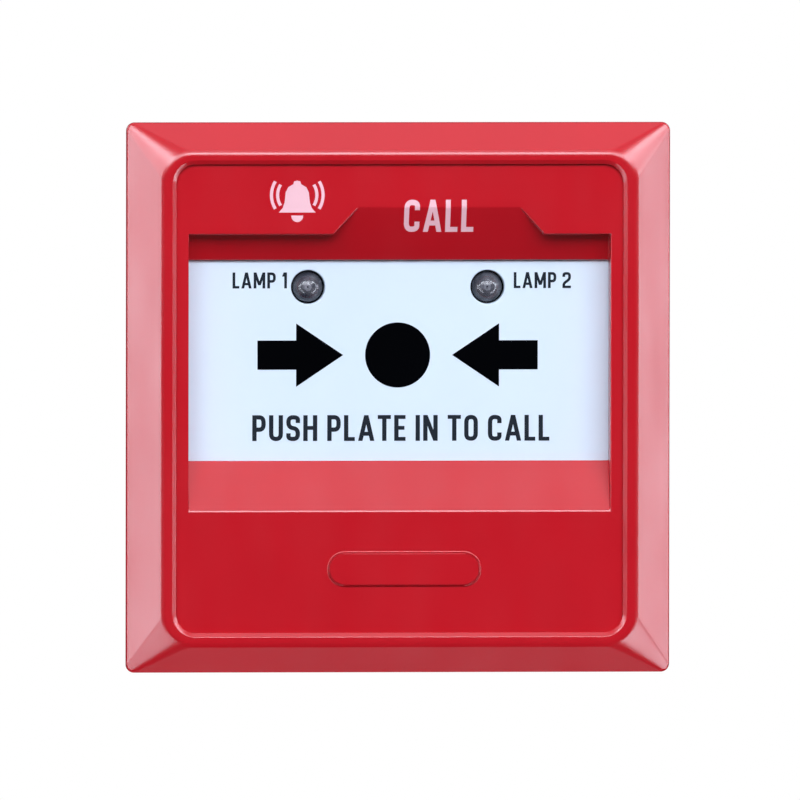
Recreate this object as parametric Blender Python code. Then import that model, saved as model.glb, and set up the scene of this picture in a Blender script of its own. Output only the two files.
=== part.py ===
"""Manual call point: a wall-mounted fire alarm point with a hinged press plate that a key resets.

The origin is the centre of the back face, which lies on the wall. +X is to the right and +Z is up,
as seen by a person who faces the point, and the front faces -Y. Sizes are in millimetres: a place is
written as x, depth in front of the wall, z, and becomes metres when a mesh is made.
"""

import math

import bmesh
import bpy
from mathutils import Vector

MM = 0.001
GAP = 0.3

# The whole object and its casings.
WIDTH = 97.0
HEIGHT = 98.0
DEPTH = 46.0
WALL = 2.2
CORNER_STEPS = 5
BOX_HALF_W = WIDTH / 2 - WALL - GAP
BOX_HALF_H = HEIGHT / 2 - WALL - GAP
BOX_DEPTH = 28.0
BOX_FLOOR = 2.5
SKIRT_REAR = 25.3
SKIRT_WIDEST = 36.0
SKIRT_FRONT = 41.0
REAR_DRAFT = 1.1
SKIRT_RADIUS = 2.0
RIM_RADIUS = 5.5
OPENING_RADIUS = 3.7
SEAL_LEDGE = 1.9
FRONT_DRAFT = 0.25
SEAL_REAR = 30.0
SEAL_FRONT = 31.2

# The rim round the panel, and the panel of the front cover.
RIM_HALF_W = 42.5
RIM_HALF_H = 44.25
OPENING_HALF_W = 40.25
OPENING_HALF_H = 42.1
RIM_REAR = 43.2
PANEL_HALF_W = 40.05
PANEL_HALF_H = 41.9
PANEL_FRONT = 45.0
PANEL_THICK = 2.0
PANEL_RADIUS = 3.6
FLANGE_HALF_W = 41.9
FLANGE_HALF_H = 43.4
FLANGE_REAR = 41.2
FLANGE_FRONT = 42.9
COVER_REAR = 39.8

# The window in the panel, between a header slope above it and a sill slope below it.
WINDOW_HALF_W = 37.6
WINDOW_TOP = 24.7
WINDOW_BOTTOM = -11.1
LAND_FRONT = 40.3
HEADER_TOP = 34.0
SILL_BOTTOM = -20.1
EAR_BOTTOM = 29.2
NOTCH_X = 7.0
NOTCH_HALF_TOP = 14.4
NOTCH_HALF_BOTTOM = 18.8
BADGE = (0.85, -30.4, 13.6, 3.0)

# The chassis plate that carries the working parts.
CHASSIS_REAR = 27.0
CHASSIS_FRONT = 28.6
CHASSIS_HALF_W = 43.3
CHASSIS_HALF_H = 43.8
BOSS_X = 35.0
BOSS_Z = 37.0
BOSS_RADIUS = 2.9

# The press plate, the carrier behind it, and their hinge along X.
HINGE_DEPTH = 36.5
HINGE_Z = 29.0
PLATE_HALF_W = 38.6
PLATE_TOP = 26.0
PLATE_BOTTOM = -12.5
PLATE_REAR = 37.5
PLATE_FRONT = 39.5
CARRIER_HALF_W = 36.5
CARRIER_TOP = 25.6
CARRIER_BOTTOM = -12.0
CARRIER_REAR = 35.7
CARRIER_FRONT = 37.2
LED_X = 16.0
LED_Z = 19.6
LED_BASE = 35.2
LED_DOME = 37.9
LED_RADIUS = 2.5
LED_FLANGE = 2.9
LED_FLANGE_THICK = 1.0
LED_SPACER_BORE = 1.6
SPRING_X = 26.0
SPRING_Z = -2.0

# The reset slider: the pin on the carrier runs in its slanting slot, so a pressed plate moves it down.
SLIDER_HALF_W = 1.5
STEM_DEPTH = 34.0
STEM_HALF_D = 2.0
STEM_FOOT = -39.0
PIN_RADIUS = 1.2
PIN_REST = (29.5, -10.0)
PIN_PRESSED = (26.13, -6.64)
SLIDER_TRAVEL = 2.6
DETENT_Z = -23.0

# The alarm switch on the circuit board.
PCB_REAR = 18.9
PCB_FRONT = 20.5
PCB_HALF_W = 34.0
PCB_HALF_H = 40.0
SWITCH_X = 12.0
SWITCH_HALF_W = 3.2
SWITCH_FRONT = 30.4
LEVER_DEPTH = 31.8
LEVER_Z = 10.5
LEVER_LENGTH = 15.5
LEVER_REST = math.radians(10.5)
PLUNGER_Z = 6.0

# What is in the lower edge: the key bush, the telephone jack and the locking screw.
JACK_X = 20.0
JACK_DEPTH = 34.2
JACK_BORE = 3.3
LOCK_X = -20.0
LOCK_DEPTH = 32.0
EDGE_INSET = 0.4
FITTING_TOP = -40.0
KEY_BORE = 3.0
BUSH_RADIUS = 4.2
JACK_BUSH_RADIUS = 4.4
LEAD_IN = 0.4

# The field wiring base in the back box.
BASE_REAR = 5.0
BASE_FRONT = 7.0
BASE_SCREW = (20.0, -11.0)
CABLE_Z = 18.0
WALL_SCREW_X = 30.0
BLOCK_FRONT = 16.0
HEADER_PIN_XS = (-6.0, -2.0, 2.0, 6.0)

RED = ((0.58, 0.012, 0.022, 1.0), 0.28, 0.0)
WHITE = ((0.80, 0.86, 0.92, 1.0), 0.35, 0.0)
BLACK = ((0.02, 0.02, 0.022, 1.0), 0.5, 0.0)
IVORY = ((0.72, 0.70, 0.62, 1.0), 0.45, 0.0)
GREEN = ((0.02, 0.16, 0.06, 1.0), 0.4, 0.0)
RUBBER = ((0.03, 0.03, 0.03, 1.0), 0.8, 0.0)
STEEL = ((0.60, 0.60, 0.62, 1.0), 0.3, 1.0)
BRASS = ((0.70, 0.52, 0.25, 1.0), 0.3, 1.0)
LENS = ((0.30, 0.32, 0.34, 1.0), 0.08, 0.0)


def point(x, depth, z):
    return Vector((x, -depth, z)) * MM


def rounded(half_w, half_h, radius, centre=(0.0, 0.0), steps=CORNER_STEPS):
    """A rectangle with round corners, as (across, up) pairs that run anticlockwise."""
    outline = []
    for quarter, (right, up) in enumerate(((1, 1), (-1, 1), (-1, -1), (1, -1))):
        for step in range(steps + 1):
            angle = math.pi / 2 * (quarter + step / steps)
            across = centre[0] + right * (half_w - radius) + radius * math.cos(angle)
            height = centre[1] + up * (half_h - radius) + radius * math.sin(angle)
            outline.append((across, height))
    return outline


def circle(radius, centre=(0.0, 0.0), steps=16):
    """A circle as (first, second) pairs."""
    turns = [2 * math.pi * (step + 0.5) / steps for step in range(steps)]
    return [(centre[0] + radius * math.cos(a), centre[1] + radius * math.sin(a)) for a in turns]


def stadium(start, end, radius, steps=8):
    """The outline of a slot whose ends are half circles about start and end."""
    lean = math.atan2(end[1] - start[1], end[0] - start[0])
    outline = []
    for centre, first in ((end, lean - math.pi / 2), (start, lean + math.pi / 2)):
        for step in range(steps + 1):
            angle = first + math.pi * step / steps
            outline.append((centre[0] + radius * math.cos(angle), centre[1] + radius * math.sin(angle)))
    return outline


def mirrored(value):
    return (-value, value)


class Shape:
    """One or more closed bodies in one mesh, given in millimetres."""

    def __init__(self):
        self.mesh = bmesh.new()

    def skin(self, rings, loop=False):
        """Walls between rings of places; a loop joins the last ring to the first, or else both are capped."""
        made = [[self.mesh.verts.new(point(*place)) for place in ring] for ring in rings]
        pairs = list(zip(made, made[1:]))
        if loop:
            pairs.append((made[-1], made[0]))
        else:
            for cap in (made[0], made[-1]):
                if len(cap) > 2:
                    self.mesh.faces.new(cap)
        for low, high in pairs:
            count = max(len(low), len(high))
            for i in range(count):
                j = (i + 1) % count
                corners = [low[i % len(low)], low[j % len(low)], high[j % len(high)], high[i % len(high)]]
                self.mesh.faces.new(list(dict.fromkeys(corners)))
        bmesh.ops.recalc_face_normals(self.mesh, faces=self.mesh.faces)
        return self

    def frames(self, rings, loop=False):
        """A skin through rounded rectangles, each given as half width, half height, radius and depth."""
        outlines = [(rounded(w, h, r), depth) for w, h, r, depth in rings]
        return self.skin([[(x, depth, z) for x, z in outline] for outline, depth in outlines], loop)

    def prism(self, outline, along, start, end):
        """An outline drawn along one axis: pairs are (depth, z), (x, z) or (x, depth)."""
        rings = []
        for station in (start, end):
            if along == "x":
                rings.append([(station, a, b) for a, b in outline])
            elif along == "depth":
                rings.append([(a, station, b) for a, b in outline])
            else:
                rings.append([(a, b, station) for a, b in outline])
        return self.skin(rings)

    def box(self, xs, depths, zs):
        corners = [(xs[0], zs[0]), (xs[1], zs[0]), (xs[1], zs[1]), (xs[0], zs[1])]
        return self.prism(corners, "depth", depths[0], depths[1])

    def rod(self, radius, centre, along, start, end, steps=16):
        return self.prism(circle(radius, centre, steps), along, start, end)

    def turned(self, profile, centre, along="depth", loop=False, steps=20):
        """A profile of (radius, station) pairs turned about an axis; a radius of 0 closes to a point."""
        rings = []
        for radius, station in profile:
            pairs = circle(radius, centre, steps) if radius else [centre]
            if along == "x":
                rings.append([(station, a, b) for a, b in pairs])
            elif along == "depth":
                rings.append([(a, station, b) for a, b in pairs])
            else:
                rings.append([(a, b, station) for a, b in pairs])
        return self.skin(rings, loop)


def material(name, look):
    colour, roughness, metallic = look
    made = bpy.data.materials.new(name)
    made.use_nodes = True
    shader = made.node_tree.nodes["Principled BSDF"]
    shader.inputs["Base Color"].default_value = colour
    shader.inputs["Roughness"].default_value = roughness
    shader.inputs["Metallic"].default_value = metallic
    made.diffuse_color = colour
    return made


def to_object(name, shape, shift=Vector()):
    mesh = bpy.data.meshes.new(name)
    for vert in shape.mesh.verts:
        vert.co -= shift
    shape.mesh.to_mesh(mesh)
    shape.mesh.free()
    mesh.shade_smooth()
    mesh.set_sharp_from_angle(angle=math.radians(35))
    made = bpy.data.objects.new(name, mesh)
    bpy.context.scene.collection.objects.link(made)
    return made


def piece(name, shape, look, edits=(), pivot=None):
    """One named solid. Each edit is ("add" or "cut", shape), applied in order; pivot is its joint's empty."""
    shift = pivot.location.copy() if pivot else Vector()
    made = to_object(name, shape, shift)
    made.parent = pivot
    made.data.materials.append(material(name, look))
    for number, (kind, tool) in enumerate(edits):
        helper = to_object(f"{name}_{kind}_{number}", tool, shift)
        helper.parent = pivot
        helper.hide_render = True
        helper.display_type = "WIRE"
        change = made.modifiers.new(f"{kind}_{number}", "BOOLEAN")
        change.operation = "UNION" if kind == "add" else "DIFFERENCE"
        change.object = helper
    return made


def axis(name, x, depth, z):
    empty = bpy.data.objects.new(name, None)
    empty.location = point(x, depth, z)
    empty.empty_display_size = 0.005
    bpy.context.scene.collection.objects.link(empty)
    return empty


def screw(name, centre, along, head, tip, head_radius, shank_radius, look=STEEL):
    """A pan-head screw. head is the station of the head's top; the head is 1.4 thick and the tip is a cone."""
    way = 1 if tip > head else -1
    under = head + way * 1.4
    profile = [
        (0, head),
        (head_radius * 0.75, head),
        (head_radius, head + way * 0.5),
        (head_radius, under),
        (shank_radius, under),
        (shank_radius, tip - way * shank_radius),
        (0, tip),
    ]
    arm = head_radius * 0.6
    half = 0.3
    cross = [(arm, half), (half, half), (half, arm), (-half, arm), (-half, half), (-arm, half)]
    cross += [(-x, -y) for x, y in cross]
    recess = [(centre[0] + a, centre[1] + b) for a, b in cross]
    body = Shape().turned(profile, centre, along, steps=10)
    return piece(name, body, look, [("cut", Shape().prism(recess, along, head - way, head + way * 0.8))])


def make_back_box():
    """The box on the wall: cable entry, two wall screw holes, scored knockouts, catches and the lock lug."""
    inner_w = BOX_HALF_W - WALL
    inner_h = BOX_HALF_H - WALL
    shell = Shape().frames(
        [
            (BOX_HALF_W - 0.6, BOX_HALF_H - 0.6, 2.4, 0.0),
            (BOX_HALF_W, BOX_HALF_H, 3.0, 0.6),
            (BOX_HALF_W, BOX_HALF_H, 3.0, BOX_DEPTH),
            (inner_w, inner_h, 1.6, BOX_DEPTH),
            (inner_w, inner_h, 1.6, BOX_FLOOR),
        ]
    )
    added = Shape()
    for side in mirrored(1):
        added.rod(3.0, (side * BASE_SCREW[0], BASE_SCREW[1]), "depth", BOX_FLOOR - 0.5, BASE_REAR - GAP)
        added.box(sorted((side * 14.0, side * 22.0)), (20.5, 22.5), (42.6, inner_h + 0.5))
    lug = [
        (BOX_FLOOR - 0.5, -inner_h - 0.5),
        (BOX_DEPTH - 0.5, -inner_h - 0.5),
        (BOX_DEPTH + 0.2, -inner_h + 0.1),
        (36.0, -inner_h + 0.1),
        (36.0, -inner_h + 2.5),
        (BOX_FLOOR - 0.5, -inner_h + 2.5),
    ]
    added.prism(lug, "x", LOCK_X - 6.0, LOCK_X + 6.0)
    holes = Shape().rod(9.0, (0.0, CABLE_Z), "depth", -1.0, 3.5, steps=28)
    holes.rod(1.8, (LOCK_X, LOCK_DEPTH), "z", -47.0, -40.0, steps=12)
    for side in mirrored(1):
        holes.rod(2.3, (side * WALL_SCREW_X, 0.0), "depth", -1.0, 3.5)
        holes.rod(1.6, (side * BASE_SCREW[0], BASE_SCREW[1]), "depth", 2.8, 6.0, steps=12)
        edge = side * BOX_HALF_H
        groove = [(9.7, edge - side * 0.6), (10.3, edge - side * 0.6), (10.3, edge + side), (9.7, edge + side)]
        holes.turned(groove, (0.0, BOX_DEPTH / 2), "z", loop=True, steps=20)
    piece("back_box", shell, RED, [("add", added), ("cut", holes)])


def make_gasket():
    ring = Shape().frames(
        [
            (BOX_HALF_W - 0.2, BOX_HALF_H - 0.2, 2.8, BOX_DEPTH + GAP),
            (BOX_HALF_W - 0.2, BOX_HALF_H - 0.2, 2.8, SEAL_REAR - GAP),
            (BOX_HALF_W - 1.8, BOX_HALF_H - 1.8, 1.6, SEAL_REAR - GAP),
            (BOX_HALF_W - 1.8, BOX_HALF_H - 1.8, 1.6, BOX_DEPTH + GAP),
        ],
        loop=True,
    )
    piece("perimeter_gasket", ring, RUBBER)


def make_grommet():
    """The rubber sleeve of the cable entry: a neck in the hole, a flange inside and a tapered mouth."""
    flange = BOX_FLOOR + GAP
    profile = [
        (8.7, GAP),
        (8.7, flange),
        (11.0, flange),
        (11.0, flange + 1.4),
        (8.0, flange + 1.4),
        (4.2, flange + 4.8),
        (3.4, flange + 4.4),
        (7.2, flange + 0.6),
        (7.2, GAP),
    ]
    piece("cable_grommet", Shape().turned(profile, (0.0, CABLE_Z), loop=True, steps=20), RUBBER)


def make_wiring_base():
    """The terminal base with its two screws, two terminal blocks, their six screws and the socket."""
    base = Shape().prism(rounded(25.0, 15.0, 2.0, (0.0, -11.0), 3), "depth", BASE_REAR, BASE_FRONT)
    holes = Shape()
    for side in mirrored(BASE_SCREW[0]):
        holes.rod(1.7, (side, BASE_SCREW[1]), "depth", BASE_REAR - 1, BASE_FRONT + 1, steps=12)
    piece("terminal_base", base, IVORY, [("cut", holes)])
    for number, side in enumerate(mirrored(BASE_SCREW[0]), 1):
        centre = (side, BASE_SCREW[1])
        screw(f"base_screw_{number}", centre, "depth", BASE_FRONT + GAP + 1.4, 3.3, 2.8, 1.3)
    block_rear = BASE_FRONT + GAP
    for number, middle in enumerate(mirrored(12.5), 1):
        block = Shape().box((middle - 10.5, middle + 10.5), (block_rear, BLOCK_FRONT), (-25.0, -17.0))
        wells = Shape()
        entries = Shape()
        for slot, x in enumerate((middle - 7.0, middle, middle + 7.0), 1):
            steps = [(0, 8.6), (1.3, 8.6), (1.3, 11.5), (2.2, 11.5), (2.2, 17.0), (0, 17.0)]
            wells.turned(steps, (x, -21.0), steps=12)
            entries.box((x - 1.7, x + 1.7), (8.1, 11.2), (-26.0, -19.0))
            label = f"terminal_screw_{3 * (number - 1) + slot}"
            screw(label, (x, -21.0), "depth", 14.4, 9.0, 1.8, 1.0, BRASS)
        piece(f"terminal_block_{number}", block, GREEN, [("cut", wells), ("cut", entries)])
    socket = Shape().box((-11.0, 11.0), (block_rear, 15.3), (-15.0, -8.0))
    cavities = Shape()
    pins = Shape()
    for x in HEADER_PIN_XS:
        cavities.box((x - 0.8, x + 0.8), (9.6, 16.0), (-12.3, -10.7))
        pins.box((x - 0.45, x + 0.45), (10.0, 16.0), (-11.95, -11.05))
    piece("base_socket", socket, BLACK, [("cut", cavities)])
    header = Shape().box((-9.5, 9.5), (15.6, PCB_REAR - GAP), (-14.0, -9.0))
    piece("pin_header", header, BLACK, [("add", pins)])


def make_circuit_board():
    board = Shape().prism(rounded(PCB_HALF_W, PCB_HALF_H, 2.0, steps=3), "depth", PCB_REAR, PCB_FRONT)
    holes = Shape()
    for x, z in ((-28.0, 32.0), (28.0, -32.0)):
        holes.rod(1.6, (x, z), "depth", PCB_REAR - 1, PCB_FRONT + 1, steps=12)
    for number, z in enumerate((-5.0, 2.0, 9.0), 1):
        holes.box((SWITCH_X - 0.8, SWITCH_X + 0.8), (PCB_REAR - 1, PCB_FRONT + 1), (z - 0.7, z + 0.7))
        leg = Shape().box((SWITCH_X - 0.4, SWITCH_X + 0.4), (17.6, PCB_FRONT + 0.05), (z - 0.3, z + 0.3))
        piece(f"switch_terminal_{number}", leg, BRASS)
    piece("pcb", board, GREEN, [("cut", holes)])
    for number, (x, z) in enumerate(((-28.0, 32.0), (28.0, -32.0)), 1):
        screw(f"pcb_screw_{number}", (x, z), "depth", PCB_REAR - GAP - 1.4, 25.5, 2.6, 1.2)
    chip = PCB_FRONT + GAP
    rings = [(5.0, 5.0, 0.4, chip), (5.0, 5.0, 0.4, chip + 0.9), (4.7, 4.7, 0.3, chip + 1.3)]
    body = [[(x - 14.0, depth, z - 10.0) for x, z in rounded(w, h, r, steps=2)] for w, h, r, depth in rings]
    piece("microcontroller", Shape().skin(body), BLACK)
    can = [(0, chip), (3.2, chip), (3.2, chip + 0.8), (2.9, chip + 1.2), (3.2, chip + 1.6)]
    can += [(3.2, chip + 5.1), (2.8, chip + 5.5), (0, chip + 5.5)]
    piece("capacitor", Shape().turned(can, (-24.0, 4.0), steps=16), STEEL)


def make_switch():
    """The alarm microswitch: case, lever on its pin and the plunger under the lever."""
    sides = (SWITCH_X - SWITCH_HALF_W, SWITCH_X + SWITCH_HALF_W)
    case = Shape().box(sides, (PCB_FRONT + 0.35, SWITCH_FRONT), (-8.0, 12.0))
    ears = Shape().box((sides[0], sides[0] + 0.8), (SWITCH_FRONT - 0.5, 33.1), (9.1, 11.9))
    ears.box((sides[1] - 0.8, sides[1]), (SWITCH_FRONT - 0.5, 33.1), (9.1, 11.9))
    holes = Shape().rod(0.75, (LEVER_DEPTH, LEVER_Z), "x", sides[0] - 1, sides[1] + 1, steps=12)
    holes.box((SWITCH_X - 1.4, SWITCH_X + 1.4), (28.2, 31.0), (PLUNGER_Z - 1.4, PLUNGER_Z + 1.4))
    piece("switch_case", case, BLACK, [("add", ears), ("cut", holes)])
    pin = Shape().rod(0.45, (LEVER_DEPTH, LEVER_Z), "x", sides[0] + 0.1, sides[1] - 0.1, steps=12)
    piece("switch_lever_pin", pin, STEEL)

    pivot = axis("switch_lever_axis", SWITCH_X, LEVER_DEPTH, LEVER_Z)
    knuckle = Shape().rod(1.15, (LEVER_DEPTH, LEVER_Z), "x", SWITCH_X - 2.1, SWITCH_X + 2.1, steps=14)
    along = (math.sin(LEVER_REST), -math.cos(LEVER_REST))
    across = (math.cos(LEVER_REST), math.sin(LEVER_REST))
    strip = []
    for length, side in ((0.9, -0.2), (LEVER_LENGTH, -0.2), (LEVER_LENGTH, 0.2), (0.9, 0.2)):
        depth = LEVER_DEPTH + along[0] * length + across[0] * side
        strip.append((depth, LEVER_Z + along[1] * length + across[1] * side))
    blade = Shape().prism(strip, "x", SWITCH_X - 1.9, SWITCH_X + 1.9)
    bore = Shape().rod(0.75, (LEVER_DEPTH, LEVER_Z), "x", SWITCH_X - 3, SWITCH_X + 3, steps=12)
    piece("switch_lever", knuckle, STEEL, [("add", blade), ("cut", bore)], pivot)

    guide = axis("switch_plunger_axis", SWITCH_X, 30.8, PLUNGER_Z)
    rings = [(1.0, 29.6), (1.0, 31.6), (0.6, 32.1)]
    button = [
        [(SWITCH_X + x, depth, PLUNGER_Z + z) for x, z in rounded(half, half, 0.3, steps=2)]
        for half, depth in rings
    ]
    piece("switch_plunger", Shape().skin(button), RED, pivot=guide)


def make_chassis():
    """The moulded plate that holds the hinge, the slider's guides, the springs, the board and the jack."""
    floor = Shape().frames(
        [
            (CHASSIS_HALF_W, CHASSIS_HALF_H, 1.4, CHASSIS_REAR),
            (CHASSIS_HALF_W, CHASSIS_HALF_H, 1.4, CHASSIS_FRONT),
        ]
    )
    root = CHASSIS_FRONT - 0.4
    openings = Shape().box((-4.8, 4.8), (26, 30), (-17.0, -2.6))
    openings.box((SWITCH_X - 3.6, SWITCH_X + 3.6), (26, 30), (-8.4, 12.4))
    openings.box((LOCK_X - 6.6, LOCK_X + 6.6), (26, 30), (-45.0, -41.2))
    for x, z in ((17.0, -28.0), (23.0, -34.0)):
        openings.box((x - 0.8, x + 0.8), (26, 30), (z - 1.5, z + 1.5))
    for side in mirrored(1):
        openings.rod(3.3, (side * LED_X, LED_Z), "depth", 26, 30)
        for z in mirrored(BOSS_Z):
            openings.rod(1.6, (side * BOSS_X, z), "depth", 26, 30, steps=12)
    front = Shape().box((-3.9, 3.9), (root, 36.2), (-34.0, -21.0))
    front.box((-3.9, 3.9), (root, 32.6), (1.0, 5.0))
    front.box((-6.2, 6.2), (root, STEM_DEPTH), (-43.5, -40.4))
    front.box((7.6, 11.4), (root, 36.3), (DETENT_Z - 2.4, DETENT_Z + 2.4))
    strap = Shape().box((-3.9, 3.9), (root + 2, 37.4), (-33.0, -30.0))
    rear = Shape()
    for side in mirrored(1):
        front.box(sorted((side * 35.0, side * 37.4)), (root, 38.7), (26.4, 31.6))
        front.rod(1.6, (side * SPRING_X, SPRING_Z), "depth", root, 30.4, steps=12)
        hook = [(27.4, 40.6), (17.0, 40.6), (17.0, 43.6), (20.0, 43.6), (20.0, 42.1), (27.4, 42.1)]
        rear.prism(hook, "x", side * 14.0, side * 22.0)
        for z in mirrored(32.0):
            rear.rod(2.8, (side * 28.0, z), "depth", PCB_FRONT + GAP, CHASSIS_REAR + 0.4)
    channels = Shape().box((-1.85, 1.85), (STEM_DEPTH - 2.3, 36.45), (-35.0, -17.0))
    channels.box((-1.85, 1.85), (28.75, 34.0), (0.0, 6.0))
    channels.rod(1.1, (9.5, DETENT_Z), "depth", 30.0, 37.0, steps=12)
    bores = Shape().rod(4.5, (0.0, STEM_DEPTH), "z", -45.0, -39.0, steps=24)
    bores.rod(1.3, (HINGE_DEPTH, HINGE_Z), "x", -39.0, 39.0, steps=12)
    for x, z in ((-28.0, 32.0), (28.0, -32.0)):
        bores.rod(1.5, (x, z), "depth", 20.0, 26.0, steps=12)
    edits = [("cut", openings), ("add", front), ("add", strap), ("add", rear)]
    edits += [("cut", channels), ("cut", bores)]
    piece("chassis", floor, BLACK, edits)
    corners = [(x, z) for x in mirrored(BOSS_X) for z in mirrored(BOSS_Z)]
    for number, centre in enumerate(corners, 1):
        screw(f"cover_screw_{number}", centre, "depth", CHASSIS_REAR - GAP - 1.4, 36.0, 2.6, 1.2)


def make_plate_and_carrier():
    """The white press plate on its hinged carrier, with the hinge pin and the pin that drives the slider."""
    hinge = axis("plate_hinge_axis", 0.0, HINGE_DEPTH, HINGE_Z)
    middle = (PLATE_TOP + PLATE_BOTTOM) / 2
    half = (PLATE_TOP - PLATE_BOTTOM) / 2
    rings = [(PLATE_REAR, 0.0), (PLATE_FRONT - 0.25, 0.0), (PLATE_FRONT, 0.25)]
    plate = [
        [(x, depth, z) for x, z in rounded(PLATE_HALF_W - inset, half - inset, 1.2, (0, middle), 3)]
        for depth, inset in rings
    ]
    led_holes = Shape()
    carrier_holes = Shape().box((-1.95, 1.95), (34.0, 39.0), (-14.0, 7.0))
    for x in mirrored(LED_X):
        led_holes.rod(3.0, (x, LED_Z), "depth", 36.0, 41.0, steps=24)
        carrier_holes.rod(3.4, (x, LED_Z), "depth", 34.0, 39.0)
    piece("press_plate", Shape().skin(plate), WHITE, [("cut", led_holes)], hinge)

    frame = Shape().box(
        (-CARRIER_HALF_W, CARRIER_HALF_W), (CARRIER_REAR, CARRIER_FRONT), (CARRIER_BOTTOM, CARRIER_TOP)
    )
    added = Shape().box((SWITCH_X - 1.5, SWITCH_X + 1.5), (35.0, CARRIER_REAR + 0.4), (-5.0, -3.0))
    knuckles = Shape()
    bores = Shape()
    for side in mirrored(1):
        added.box(sorted((side * 2.1, side * 3.9)), (27.7, CARRIER_REAR + 0.4), (-11.8, -8.2))
        added.rod(1.6, (side * SPRING_X, SPRING_Z), "depth", 34.0, CARRIER_REAR + 0.4, steps=12)
        ends = sorted((side * 28.0, side * 34.0))
        added.box((ends[0] + 0.2, ends[1] - 0.2), (CARRIER_REAR + 0.1, CARRIER_FRONT - 0.1), (24.0, HINGE_Z))
        knuckles.rod(2.2, (HINGE_DEPTH, HINGE_Z), "x", ends[0], ends[1])
        bores.rod(1.3, (HINGE_DEPTH, HINGE_Z), "x", ends[0] - 1, ends[1] + 1, steps=12)
    bores.rod(1.5, PIN_REST, "x", -5.0, 5.0, steps=12)
    edits = [("cut", carrier_holes), ("add", added), ("add", knuckles), ("cut", bores)]
    piece("plate_carrier", frame, BLACK, edits, hinge)
    piece("drive_pin", Shape().rod(PIN_RADIUS, PIN_REST, "x", -4.2, 4.2), STEEL, pivot=hinge)
    piece("hinge_pin", Shape().rod(1.0, (HINGE_DEPTH, HINGE_Z), "x", -37.0, 37.0), STEEL)


def make_return_spring(name, x):
    """A compression coil between the chassis and the carrier, round a peg at each end."""
    turns, coil_steps, wire_steps = 5, 10, 5
    coil, wire = 2.25, 0.25
    start, end = 28.95 + wire, 35.35 - wire
    rings = []
    for step in range(turns * coil_steps + 1):
        share = step / (turns * coil_steps)
        angle = 2 * math.pi * turns * share
        ring = []
        for side in range(wire_steps):
            tilt = 2 * math.pi * side / wire_steps
            reach = coil + wire * math.cos(tilt)
            depth = start + (end - start) * share + wire * math.sin(tilt)
            ring.append((x + reach * math.cos(angle), depth, SPRING_Z + reach * math.sin(angle)))
        rings.append(ring)
    piece(name, Shape().skin(rings), STEEL)


def make_slider():
    """The reset slider with its slanting slot and two detent notches, and the leaf that holds it."""
    guide = axis("reset_slider_axis", 0.0, STEM_DEPTH, STEM_FOOT)
    rear = STEM_DEPTH - STEM_HALF_D
    front = STEM_DEPTH + STEM_HALF_D
    outline = [
        (23.7, -3.2),
        (23.7, -13.5),
        (28.5, -13.5),
        (rear, -18.0),
        (rear, STEM_FOOT),
        (front, STEM_FOOT),
        (front, -15.5),
        (31.8, -13.9),
        (31.8, 5.5),
        (29.0, 5.5),
        (29.0, -3.2),
    ]
    body = Shape().prism(outline, "x", -SLIDER_HALF_W, SLIDER_HALF_W)
    slot = Shape().prism(stadium(PIN_REST, PIN_PRESSED, PIN_RADIUS + 0.2), "x", -3.0, 3.0)
    for z in (DETENT_Z, DETENT_Z + SLIDER_TRAVEL):
        slot.box((-3.0, 3.0), (front - 0.7, front + 1), (z - 0.9, z + 0.9))
    piece("reset_slider", body, WHITE, [("cut", slot)], guide)

    leaf_rear = front + 0.6
    leaf = Shape().box((-3.0, 11.4), (leaf_rear, leaf_rear + 0.4), (DETENT_Z - 1.6, DETENT_Z + 1.6))
    ridge = [(leaf_rear + 0.2, -0.7), (leaf_rear + 0.2, 0.7), (35.7, 0.35), (35.7, -0.35)]
    ridge = [(depth, DETENT_Z + z) for depth, z in ridge]
    hole = Shape().rod(1.1, (9.5, DETENT_Z), "depth", 35.0, 39.0, steps=12)
    edits = [("add", Shape().prism(ridge, "x", -1.3, 1.3)), ("cut", hole)]
    piece("detent_spring", leaf, STEEL, edits)
    screw("detent_screw", (9.5, DETENT_Z), "depth", leaf_rear + 0.4 + GAP + 1.4, 31.0, 1.9, 0.8)


def make_leds():
    """Two 5 mm lamps with short bodies on tube spacers: alarm on the left, telephone on the right."""
    shoulder = LED_BASE + LED_FLANGE_THICK
    spacer = (PCB_FRONT + GAP, LED_BASE - GAP)
    steps = 5
    for number, (name, x) in enumerate((("alarm_led", -LED_X), ("phone_led", LED_X)), 1):
        profile = [(0, LED_BASE), (LED_FLANGE, LED_BASE), (LED_FLANGE, shoulder), (LED_RADIUS, shoulder)]
        for step in range(steps):
            angle = math.pi / 2 * step / steps
            profile.append((LED_RADIUS * math.cos(angle), LED_DOME + LED_RADIUS * math.sin(angle)))
        profile.append((0, LED_DOME + LED_RADIUS))
        piece(name, Shape().turned(profile, (x, LED_Z), steps=16), LENS)
        tube = [(LED_FLANGE, end) for end in spacer] + [(LED_SPACER_BORE, end) for end in reversed(spacer)]
        piece(f"led_spacer_{number}", Shape().turned(tube, (x, LED_Z), loop=True, steps=16), BLACK)


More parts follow.
